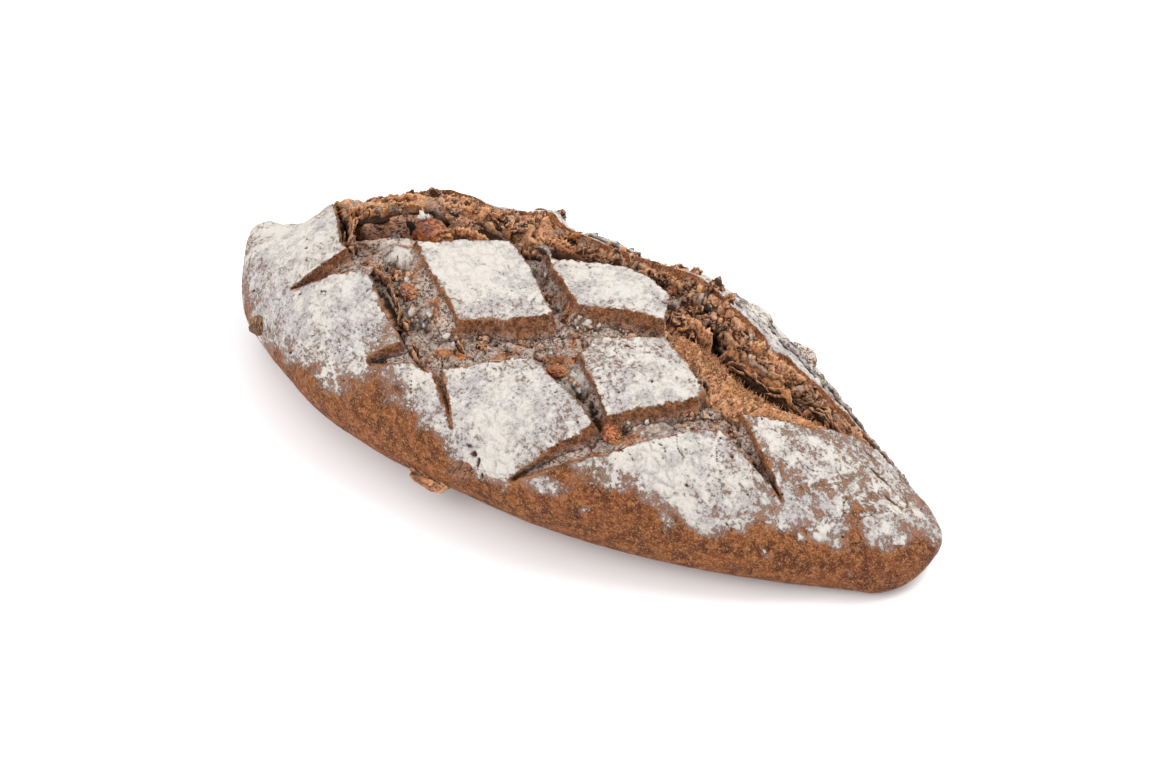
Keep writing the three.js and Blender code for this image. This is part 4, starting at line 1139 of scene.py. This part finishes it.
def make_sheets(name, paths, size, seed):
    """All sheets of one kind as one mesh, with painted shade at the foot and, on sheets of crumb, a painted
    highlight along the ragged edge.
    """
    grids, shares, flours, tones = [], [], [], []
    for count, (low, high, thick, bow, flour) in enumerate(paths):
        grid, share, tone = sheet_grid(low, high, thick, bow, seed + 11 * count, size)
        grids.append(grid)
        shares.append(share)
        flours.append(np.full(share.shape, flour))
        tones.append(np.concatenate([tone, tone[:, ::-1]], axis=1))
    grids, share, flour, tone = np.array(grids), np.array(shares), np.array(flours), np.array(tones)
    # Painted shade towards the foot of each sheet and a painted highlight along the upper edge of crumb
    # sheets; the tone noise adds darker and lighter patches, and crusty flakes darken along their upper edge.
    crusty = step(flour, 0.42, 0.55)
    dark = 0.9 * (1 - step(share, 0.2, 0.75)) + 0.6 * step(-tone, 0.1, 0.5)
    fields = {"flour": np.where(crusty > 0, flour * step(share, 0.15, 0.5), flour), "crumb": 1 - crusty,
              "toast": np.where(flour > 0.32, 0.4, 0.9),
              "dark": np.clip(dark + 0.6 * crusty * step(share, 0.8, 1), 0, 0.9),
              "crest": (1 - crusty) * np.clip(step(share, 0.75, 1.0) + 0.4 * step(tone, 0.1, 0.6), 0, 1)}
    ends = np.stack([grids[:, 0].mean(axis=1), grids[:, -1].mean(axis=1)], axis=1)
    return mesh_from_grids(name, grids, wrap=True, caps=ends, fields=fields)


sheets = make_sheets("torn_sheets", SHEETS, SHEET_GRID, 400)
flakes = make_sheets("torn_flakes", flake_paths(31), FLAKE_GRID, 900)
for piece in (sheets, flakes):
    piece.data.materials.append(bread)
    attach(piece, "root")
    print(piece.name, count_triangles(piece), "triangles")

# %% [markdown]
# Tufts of fibres are too many to place by hand. They are strewn with a seeded generator inside named patches,
# rooted in the torn surface, as one joined mesh. Hair curves would be quicker to lay out, but they don't
# export as a mesh.

# %% Tufts
TUFT_PATCHES = [  # x, girth, spread along and across, how many, length (mm)
    (48, 7, 14, 7, 900, 2.0), (68, 8, 10, 6, 500, 1.8), (84, 17, 8, 5, 250, 1.5), (56, 12, 14, 2.0, 500, 2.2),
    (-97, 13, 8, 3, 110, 1.5), (-88, 22, 6, 5, 90, 1.4), (-103, 9, 6, 4, 80, 1.3), (-50, 22, 9, 2, 160, 1.2),
    (26, 20, 4, 6, 200, 1.6), (-66, 30, 8, 3, 120, 1.2), (-28, 33, 8, 2, 120, 1.2), (20, 38, 6, 3, 140, 1.6),
]
TUFT_RINGS, TUFT_SIDES = 4, 3


def on_torn_surface(x, girth):
    """Nearest points of the torn surface and its normals there."""
    row = np.clip(np.searchsorted(torn_x, x), 0, len(torn_x) - 1)
    column = np.abs(torn_girth[row] - girth[:, None]).argmin(axis=1)
    return torn_points[row, column], torn_normals[row, column]


def make_tufts(seed):
    """Tapered fibres of three sides, each bent one way: root + length * (share * direction + share^2 *
    bend)."""
    rng = np.random.default_rng(seed)
    roots, outs, lengths = [], [], []
    for x, girth, along, across, count, length in TUFT_PATCHES:
        root, out = on_torn_surface(rng.normal(x, along / 1.6, count), rng.normal(girth, across / 1.6, count))
        roots.append(root)
        outs.append(out)
        lengths.append(length * rng.uniform(0.35, 1.2, count))
    root, out, length = np.concatenate(roots), np.concatenate(outs), np.concatenate(lengths)
    n = len(root)
    lean = np.array((-0.25, 0.75, 0.35))
    direction = out * 0.7 + lean * rng.uniform(0.2, 0.9, (n, 1)) + rng.normal(0, 0.45, (n, 3))
    direction /= np.linalg.norm(direction, axis=1, keepdims=True)
    side = np.cross(direction, rng.normal(0, 1, (n, 3)))
    side /= np.linalg.norm(side, axis=1, keepdims=True)
    other = np.cross(direction, side)
    bend = rng.normal(0, 0.35, (n, 3))
    share = np.linspace(0, 0.9, TUFT_RINGS)
    spine = root[:, None] - 0.3 * direction[:, None] + length[:, None, None] * (
        share[None, :, None] * direction[:, None] + (share ** 2)[None, :, None] * bend[:, None])
    radius = rng.uniform(0.13, 0.36, (n, 1)) * (1 - share[None, :]) ** 0.7
    radius = radius * (1 + 0.3 * rng.normal(0, 1, (n, TUFT_RINGS)))
    turn = -2 * np.pi * np.arange(TUFT_SIDES) / TUFT_SIDES
    turn = turn[None, None, :, None]
    ring = side[:, None, None] * np.cos(turn) + other[:, None, None] * np.sin(turn)
    grids = spine[:, :, None] + radius[:, :, None, None] * ring
    tips = np.stack([spine[:, 0], spine[:, -1] + 0.1 * length[:, None] * direction], axis=1)
    # Painted highlight: each tuft is lit by a random amount, more towards its tip.
    lit = rng.uniform(0.2, 1.1, (n, 1, 1)) * (0.4 + 0.6 * share[None, :, None])
    fields = {"crumb": 1.0, "toast": 0.9, "crest": lit}
    return mesh_from_grids("crumb_tufts", grids, wrap=True, caps=tips, fields=fields)


torn_normals = normals_of(torn_points)
torn_normals *= np.sign(torn_normals[torn_normals.shape[0] // 2, torn_normals.shape[1] // 2, 2])
tufts = make_tufts(7)
tufts.data.materials.append(bread)
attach(tufts, "root")
print("tufts:", count_triangles(tufts), "triangles")

# %% [markdown]
# Crumbs fell on the floors of the cuts and into the tear, and small lumps of flour rolled into the grooves. A
# particle system could strew them, but it doesn't export as a mesh. So each kind is one joined mesh of craggy
# balls, strewn in patches or placed one by one.

# %% Crumbs and flour lumps
CRUMB_PATCHES = [  # x, girth, spread along and across, how many, radius (mm), lift, share of white ones
    (-60, -16, 10, 6, 60, 0.8, -5.4, 0.5), (-62, -10, 9, 4, 30, 1.0, -5.5, 0.4),
    (-48, -30, 6, 5, 40, 0.9, -5.0, 0.6), (-20, -28, 9, 5, 70, 0.7, -5.2, 0.35),
    (-6, -19, 8, 4, 50, 0.7, -5.6, 0.4), (14, -26, 7, 3, 40, 0.8, -5.2, 0.7),
    (-18, 6, 12, 3, 40, 0.7, -5.2, 0.3), (4, -2, 6, 3, 40, 0.8, -5.6, 0.55),
    (20, 3, 6, 3, 30, 0.8, -5.4, 0.3), (46, -30, 8, 4, 50, 0.7, -4.8, 0.5),
    (58, -17, 6, 4, 40, 0.8, -4.6, 0.3), (70, -10, 6, 3, 24, 0.7, -4.2, 0.2),
    (-88, -22, 5, 3, 24, 0.7, -5.0, 0.2), (-24, 18, 3, 6, 24, 0.7, -5.0, 0.2),
    (-50, 34, 8, 3, 40, 1.1, -1.5, 0.25), (-92, 14, 10, 6, 60, 0.9, -0.8, 0.1),
    (16, 42, 12, 2, 30, 1.2, -0.5, 0.1), (60, 27, 14, 3, 50, 0.9, -3.5, 0.05),
    (40, 30, 6, 4, 40, 1.1, -3.5, 0.05), (24, 26, 6, 6, 50, 1.1, -5.0, 0.05),
    (77, 27, 8, 2, 30, 0.9, -3.0, 0.1), (-70, 26, 9, 3, 36, 0.9, -2.0, 0.1),
]
FLOUR_LUMPS = [  # x, girth, lift, radius
    (14, -24, -4.2, 1.6), (19, -29, -4.4, 1.2), (4, 0, -5.0, 1.7), (0, -1, -5.2, 1.2), (8, 1, -5.0, 1.0),
    (-51, -28, -4.0, 1.9), (-45, -26, -4.2, 1.7), (-41, -26, -4.4, 1.2), (-76, 14, -1.4, 1.8),
    (-74, 15, -1.8, 1.2), (-34, -31, -4.4, 1.3), (-30, -33, -4.0, 1.1), (12, -21, -4.6, 0.9),
    (16, -27, -4.4, 0.8), (-51, 35, 0.4, 1.8), (45, -27, -4.0, 1.2), (40, -31, -4.0, 1.0),
]


def crags(d, n, seed, waves):
    """Height of craggy lumps over a ball, about -1 to 1: a sum of folded waves, (1 - 2 |sin(f a.d + p)|) /
    f^0.8, each in a direction a and with a phase p of its own for every lump."""
    rng = np.random.default_rng(seed)
    total, weight = 0.0, 0.0
    for frequency in waves:
        across = rng.normal(0, 1, (n, 3))
        across /= np.linalg.norm(across, axis=1, keepdims=True)
        bend = rng.normal(0, 1, (n, 3))
        warp = 0.7 * np.sin(np.einsum("rck,nk->nrc", d, bend) * 2.2)
        wave = 1 - 2 * np.abs(np.sin(0.5 * frequency * (np.einsum("rck,nk->nrc", d, across) + warp)
                                     + rng.uniform(0, 3.14, (n, 1, 1))))
        total, weight = total + wave / frequency ** 0.8, weight + 1 / frequency ** 0.8
    return total / weight * 2


def make_lumps(name, centres, radii, seed, fields, grid=(7, 10), waves=(2.5, 3.5, 5), high=0.3,
               squeeze=(0.65, 1.25)):
    """Balls with uneven axes: radius * (1 + high * crags). A field may be a number, one number for each lump,
    or a function of the crags and of how much a place looks up."""
    rng = np.random.default_rng(seed)
    n = len(centres)
    d = ball_grid(*grid)
    relief = crags(d, n, seed + 1, waves)
    axes = rng.uniform(*squeeze, (n, 1, 1, 3)) * np.reshape(radii, (n, 1, 1, -1))
    turn = rng.uniform(0, 2 * np.pi, (n, 1, 1))
    shape = d[None] * (1 + high * relief)[..., None] * axes
    turned = np.stack([shape[..., 0] * np.cos(turn) - shape[..., 1] * np.sin(turn),
                       shape[..., 0] * np.sin(turn) + shape[..., 1] * np.cos(turn), shape[..., 2]], axis=-1)
    grids = centres[:, None, None] + turned
    raised = [(1 + high * relief[:, row].mean(axis=1))[:, None] for row in (0, -1)]
    poles = np.stack([centres + sign * axes[:, 0, 0, 2:] * end * (0, 0, 1)
                      for sign, end in zip((1, -1), raised)], axis=1)
    up = np.broadcast_to(d[..., 2], relief.shape)
    made = {key: value(relief, up) if callable(value) else np.reshape(value, (-1, 1, 1))
            for key, value in fields.items()}
    return mesh_from_grids(name, grids, wrap=True, caps=poles, fields=made)


def strew_crumbs(seed):
    """Places, radii and whiteness of the crumbs: bell-shaped scatter round each patch."""
    rng = np.random.default_rng(seed)
    places, radii, white = [], [], []
    for x, girth, along, across, count, radius, lift, share in CRUMB_PATCHES:
        at_x, at_girth = rng.normal(x, along / 1.7, count), rng.normal(girth, across / 1.7, count)
        size = radius * rng.lognormal(-0.6, 0.55, count)
        places.append(on_loaf(at_x, at_girth, lift + rng.normal(0, 0.4, count) + 0.3 * size))
        radii.append(size)
        white.append(rng.uniform(0, 1, count) < 0.5 * share)
    return np.concatenate(places), np.clip(np.concatenate(radii), 0.2, 1.5), np.concatenate(white)


places, radii, white = strew_crumbs(11)
browns = np.random.default_rng(12).uniform(0, 1, len(radii))
crumbs = make_lumps("loose_crumbs", places, radii, 13, {
    "flour": np.where(white, 1.0, 0.15), "crumb": 1.0, "toast": browns,
    "dark": np.where(white, 0.0, 0.4 * (browns < 0.3)), "crest": np.where(white, 0.0, browns > 0.6)})
lump_at = np.array(FLOUR_LUMPS, float)
lumps = make_lumps("flour_lumps", on_loaf(lump_at[:, 0], lump_at[:, 1], lump_at[:, 2]), lump_at[:, 3], 17,
                   {"flour": 1.2})
for piece, slot in ((crumbs, "crumb"), (lumps, "flour")):
    piece.data.materials.append(bread)
    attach(piece, "root")
print("crumbs:", count_triangles(crumbs), "triangles; flour lumps:", count_triangles(lumps))

# %% [markdown]
# On the far side of the tear the crumb broke into chunks of three to nine millimetres, ragged and toasted,
# with dark gaps between them. They are craggy lumps half sunk in the torn surface, the largest placed one
# by one, since they make the outline of the loaf there. A rougher torn surface could stand in for them, but
# its lumps would not overhang.

# %% Chunks
CHUNKS = [  # x, girth, lift, half sizes along, round and up
    (13, 45, -0.4, 5.0, 3.2, 2.6), (6, 44, -0.8, 3.2, 2.6, 2.2), (20, 43, -0.4, 3.6, 3.0, 2.4),
    (30, 40, -0.2, 5.2, 3.4, 2.6), (38, 36, -0.8, 3.6, 2.6, 2.2), (-4, 43, -1.0, 3.4, 2.2, 2.0),
    (24, 39, -3.4, 3.8, 3.4, 2.6), (33, 35, -3.2, 4.6, 4.0, 2.4), (42, 32, -3.2, 4.0, 3.4, 2.2),
    (14, 41, -3.6, 3.0, 2.4, 2.6), (22, 24, -3.0, 3.0, 3.2, 2.4), (28, 20, -3.4, 3.2, 2.8, 2.2),
    (34, 16, -3.0, 2.8, 2.2, 2.0), (50, 30, -2.6, 4.4, 2.8, 2.0), (60, 28, -2.4, 4.0, 2.6, 1.8),
    (70, 27, -2.6, 3.6, 2.2, 1.8), (80, 27, -2.6, 3.4, 2.0, 1.6), (-52, 35, -0.8, 2.8, 2.0, 1.6),
    (-45, 33, -1.2, 2.6, 2.0, 1.6), (-38, 44, 0.2, 2.8, 1.8, 2.4), (-44, 42, -0.4, 2.4, 1.6, 1.8),
    (-84, 33, 0.0, 3.6, 2.6, 2.0), (-92, 30, 0.2, 3.2, 2.4, 1.8), (-100, 22, 0.0, 2.6, 2.0, 1.6),
    (-28, 42, -1.2, 2.6, 2.0, 1.6), (-16, 43, -1.2, 2.6, 2.0, 1.6),
]
CHUNK_PATCHES = [  # x, girth, spread along and across, how many, lift
    (20, 41, 34, 5, 60, -2.4), (48, 29, 26, 4, 50, -3.4), (-20, 39, 18, 4, 30, -2.4),
    (-100, 24, 10, 4, 12, -0.8), (28, 24, 8, 7, 26, -5.0), (84, 27, 12, 2, 18, -2.4),
    (-58, 32, 10, 3, 20, -1.2)]


def strew_chunks(seed):
    """Places and half sizes: the listed chunks, then bell-shaped scatter round each patch."""
    rng = np.random.default_rng(seed)
    places, sizes = [np.array(CHUNKS)[:, :3]], [np.array(CHUNKS)[:, 3:]]
    for x, girth, along, across, count, lift in CHUNK_PATCHES:
        places.append(np.stack([rng.normal(x, along / 1.8, count), rng.normal(girth, across / 1.8, count),
                                rng.normal(lift, 0.7, count)], axis=-1))
        sizes.append(rng.lognormal(0.25, 0.35, (count, 1)) * rng.uniform(0.8, 1.3, (count, 3)))
    return np.concatenate(places), np.concatenate(sizes)


chunk_at, chunk_size = strew_chunks(23)
chunk_toast = np.random.default_rng(24).uniform(0.55, 1.0, len(chunk_at))
by_hand = np.arange(len(chunk_at)) < len(CHUNKS)
# Painted shade in the hollows and on the undersides of each chunk, and a painted highlight on its crags.
for name, these, grid, waves in (("crumb_chunks", by_hand, (30, 44), (2.5, 4, 5, 7, 9, 12, 16, 21)),
                                 ("crumb_bits", ~by_hand, (16, 24), (2.5, 4, 5, 7, 9, 11))):
    chunks = make_lumps(
        name, on_loaf(*chunk_at[these].T), chunk_size[these], 29,
        {"flour": lambda relief, up: 0.4 * step(up, 0.3, 0.9) * step(relief, 0.0, 0.6), "crumb": 1.0,
         "toast": chunk_toast[these],
         "dark": lambda relief, up: 0.9 * np.maximum(step(-relief, 0.1, 0.6), step(-up, 0.0, 0.6)),
         "crest": lambda relief, up: 0.9 * step(relief, 0.2, 0.8)},
        grid=grid, waves=waves, high=0.36, squeeze=(0.9, 1.1))
    chunks.data.materials.append(bread)
    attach(chunks, "root")
    print(name, these.sum(), "chunks,", count_triangles(chunks), "triangles")

# %% [markdown]
# ## Walnuts
# Each piece is part of a kernel that was broken up in the dough: a lump with the lobes and furrows of a
# brain, a thin skin that bakes to amber where it is bare and stays tan where dough covers it, and a pale
# break on one side. It keeps the place, size and turn of its solid. Deep furrows are the crests of ridged
# noise turned inwards. A kernel could be sculpted, but nine that differ come from one formula with nine
# seeds.

# %% Walnut pieces
WALNUTS = {  # place on the skin, lift, half sizes (along, across, out), turn (degrees), look: skin and dust
    "walnut_in_tear": ((-70, 13), -6.5, (6.5, 5, 5), 20, "amber", 0.0),
    "walnut_at_blunt_end": ((-114, -46), 0.4, (4, 3.4, 2.8), 60, "dark", 0.05),
    "walnut_at_foot": ((-22, -88), 0.5, (8, 4, 3.6), -8, "tan", 0.1),
    "walnut_far_flank_a": ((44, 46), 0.6, (7, 4.6, 3.6), 12, "dark", 0.45),
    "walnut_far_flank_b": ((66, 42), 0.4, (6, 4.2, 4), -18, "dark", 0.35),
    "walnut_in_middle_cut": ((8, -26), -4.2, (3.6, 2.6, 2.6), 40, "amber", 0.05),
    "walnut_under_tile": ((37, -37.5), -4.2, (4.2, 3, 2.8), -30, "amber", 0.0),
    "walnut_in_first_cut": ((-58, -20), -5.2, (3.8, 3.2, 3), 25, "amber", 0.2),
    "walnut_in_front_flank": ((-6, -74), -0.2, (6.5, 4, 2.6), 30, "crusty", 0.1),
}
NUT_SKINS = {  # light skin, dark skin, broken flesh, roughness
    "amber": ("a2572a", "5e2b12", "c48c52", 0.38), "dark": ("7a5336", "4c2f1d", "a58058", 0.6),
    "tan": ("a96b40", "74441f", "cda074", 0.55), "crusty": ("84573a", "5d3a25", "9c6d4c", 0.75),
}
NUT_ROWS, NUT_COLUMNS = ((60, 100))


def standing_on_skin(at, lift, turn):
    """Middle of a piece and its three axes: along the loaf and across it, turned about the third, which
    points out."""
    place = skin(at[0], at[1], lift)
    out = skin(at[0], at[1], lift + 1) - place
    across = np.cross(out, (1.0, 0.0, 0.0))
    across /= np.linalg.norm(across)
    c, s = math.cos(math.radians(turn)), math.sin(math.radians(turn))
    along = np.array((1.0, 0.0, 0.0))
    return place, np.stack([along * c + across * s, across * c - along * s, out])


def walnut_piece(name, at, lift, half, turn, seed):
    """A ball with big lobes (waves) and furrows (ridged noise over two turned maps of the ball), squeezed to
    size."""
    d = ball_grid(NUT_ROWS, NUT_COLUMNS)
    x, y, z = d[..., 0], d[..., 1], d[..., 2]
    lobes = 0.13 * (np.sin(3.1 * x + 2 * at[0]) * np.cos(4.3 * y + at[1]) + 0.6 * np.sin(5 * z + 3.1 * x))
    furrow = (ridge(2.2 * x + 0.8 * z, 2.2 * y + 0.9 * z + 3, 1.0, seed, 2)
              + ridge(2.4 * z, 2.0 * x - 1.5 * y, 1.0, seed + 9, 2))
    wrinkle = rough(9 * x + 3 * z, 9 * y + 4 * z, 1.4, seed + 3, 3)
    radius = 1 + lobes - 0.17 * step(furrow, 0.75, 1.35) + 0.035 * wrinkle
    place, axes = standing_on_skin(at, lift, turn)
    points = place + (d * radius[..., None] * np.array(half)) @ axes
    poles = np.stack([place + sign * radius[row].mean() * half[2] * axes[2]
                      for sign, row in ((1, 0), (-1, -1))])
    fields = {"furrow": step(furrow, 0.7, 1.3), "bare": step(wrinkle + 0.6 * x, 0.25, 0.75),
              "up": (d @ axes)[..., 2]}
    return mesh_from_grids(name, points[None], wrap=True, caps=poles[None], fields=fields)


NUT_NOISES = {"blotch": (3.0, 3.0, 0.55), "speck": (0.7, 3.0, 0.6)}  # size (mm), detail, roughness
NUT_FIELDS = ("furrow", "bare", "up")
NUT_SUMS = {"shade": {"furrow": 0.8, "speck": 0.4}, "sifted": {"speck": 1.0, "blotch": 0.6}}
NUT_SHADOW, NUT_FLOUR = "2a160c", "c6c0b8"


def walnut_material(name, skin_light, skin_dark, flesh, gloss, dust):
    """Kernel skin: light on the lobes, darker skin with painted shade in the furrows, torn off in places,
    with flour on what looks up."""
    material, tree = new_material(name)
    p = patterns_on(tree, NUT_NOISES, NUT_FIELDS, NUT_SUMS)
    furrowed = lay_over(tree, linear(skin_dark), [(1.0, 0.6, NUT_SHADOW)])
    colour = lay_coats(tree, linear(skin_light), p, [
        ("blotch", 0.35, 0.65, 0, 1, skin_dark), ("shade", 0.4, 1.0, 0, 1, furrowed)])
    colour = lay_over(tree, colour, [(p["bare"], 0.7, flesh)])
    upward = add(tree, "ShaderNodeMapRange", {"Value": p["up"], "From Max": 0.6},
                 interpolation_type="SMOOTHSTEP").outputs["Result"]
    sifted = add(tree, "ShaderNodeMapRange", {
        "Value": p["sifted"], "From Min": 1.05 - dust, "From Max": 1.2 - dust},
        interpolation_type="SMOOTHSTEP").outputs["Result"]
    dusted = add(tree, "ShaderNodeMath", {0: upward, 1: sifted}, operation="MULTIPLY").outputs["Value"]
    colour = lay_over(tree, colour, [(dusted, 1.0, NUT_FLOUR)])
    roughness = add(tree, "ShaderNodeMapRange", {"Value": dusted, "To Min": gloss, "To Max": 0.9},
                    interpolation_type="SMOOTHSTEP").outputs["Result"]
    bump = add(tree, "ShaderNodeBump", {"Height": p["speck"], "Strength": 0.6, "Distance": 0.4 * MM})
    shader = add(tree, "ShaderNodeBsdfPrincipled", {
        "Base Color": colour, "Roughness": roughness, "Normal": bump.outputs["Normal"],
        "Specular IOR Level": 0.5, "IOR": 1.47})
    add(tree, "ShaderNodeOutputMaterial", {"Surface": shader.outputs["BSDF"]})
    return material


for count, (name, (at, lift, half, turn, look, dust)) in enumerate(WALNUTS.items()):
    nut = walnut_piece(name + "_kernel", at, lift, half, turn, 300 + 20 * count)
    nut.data.materials.append(walnut_material(name + "_skin", *NUT_SKINS[look], dust))
    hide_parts(name)
    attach(nut, "root")
print(len(WALNUTS), "walnut pieces")

# %% [markdown]
# ## Camera, floor and light
# The photo looks down on the loaf from its scored side with a long lens. The floor is plain white, and the
# light is one large soft source above and behind, with a weaker one in front, so shadows are short and pale.
# A picture of a sky could light it instead, but two area lights are easier to set against the shadows in the
# photo.

# %% Camera
AZIMUTH, ELEVATION, DISTANCE = math.radians(33.9), math.radians(42.0), 1.120
AIM = Vector((0.0040, -0.00056, 0.0240))
FOCAL_PIXELS, PHOTO_WIDTH = 3219.0, 1170.0

camera_data = bpy.data.cameras.new("camera")
camera_data.sensor_width = 36.0
camera_data.lens = FOCAL_PIXELS / PHOTO_WIDTH * camera_data.sensor_width
camera_data.clip_start, camera_data.clip_end = 0.05, 20.0
camera = bpy.data.objects.new("camera", camera_data)
bpy.context.scene.collection.objects.link(camera)
backwards = Vector((math.sin(AZIMUTH) * math.cos(ELEVATION), -math.cos(AZIMUTH) * math.cos(ELEVATION),
                    math.sin(ELEVATION)))
camera.location = AIM + DISTANCE * backwards
camera.rotation_euler = backwards.to_track_quat("Z", "Y").to_euler()
bpy.context.scene.camera = camera
print("lens %.1f mm at %.2f m" % (camera_data.lens, DISTANCE))

# %% Floor
FLOOR_SIZE = 6.0
floor_mesh = bpy.data.meshes.new("floor")
half = FLOOR_SIZE / 2
floor_mesh.from_pydata([(-half, -half, 0), (half, -half, 0), (half, half, 0), (-half, half, 0)], [],
                       [(0, 1, 2, 3)])
floor = bpy.data.objects.new("floor", floor_mesh)
bpy.context.scene.collection.objects.link(floor)
floor_material, tree = new_material("white_paper_sweep")
paper = add(tree, "ShaderNodeBsdfPrincipled", {"Base Color": (0.97, 0.955, 0.965, 1), "Roughness": 0.9,
                                               "Specular IOR Level": 0.1})
add(tree, "ShaderNodeOutputMaterial", {"Surface": paper.outputs["BSDF"]})
floor_mesh.materials.append(floor_material)
print("floor:", FLOOR_SIZE, "m square")

# %% Light
SKY_STRENGTH = 1.08


def soft_light(name, place, size, power, colour):
    """A square area light that looks at the middle of the loaf."""
    data = bpy.data.lights.new(name, "AREA")
    data.shape, data.size, data.energy, data.color = "SQUARE", size, power, colour
    light = bpy.data.objects.new(name, data)
    bpy.context.scene.collection.objects.link(light)
    light.location = place
    light.rotation_euler = (Vector(place) - Vector((0, 0, 0.02))).to_track_quat("Z", "Y").to_euler()
    return light


lights = [soft_light("key", (0.55, 0.75, 1.35), 1.0, 20.0, (1.0, 0.99, 0.97)),
          soft_light("fill", (-0.7, -1.4, 0.9), 1.6, 17.0, (0.98, 0.98, 1.0))]
world = bpy.data.worlds.new("studio")
world.use_nodes = True
world.node_tree.nodes["Background"].inputs["Color"].default_value = (1, 1, 1, 1)
world.node_tree.nodes["Background"].inputs["Strength"].default_value = SKY_STRENGTH
bpy.context.scene.world = world
bpy.context.scene.view_settings.view_transform = "Standard"
print("lights:", ", ".join("%s %.0f W" % (light.name, light.data.energy) for light in lights))
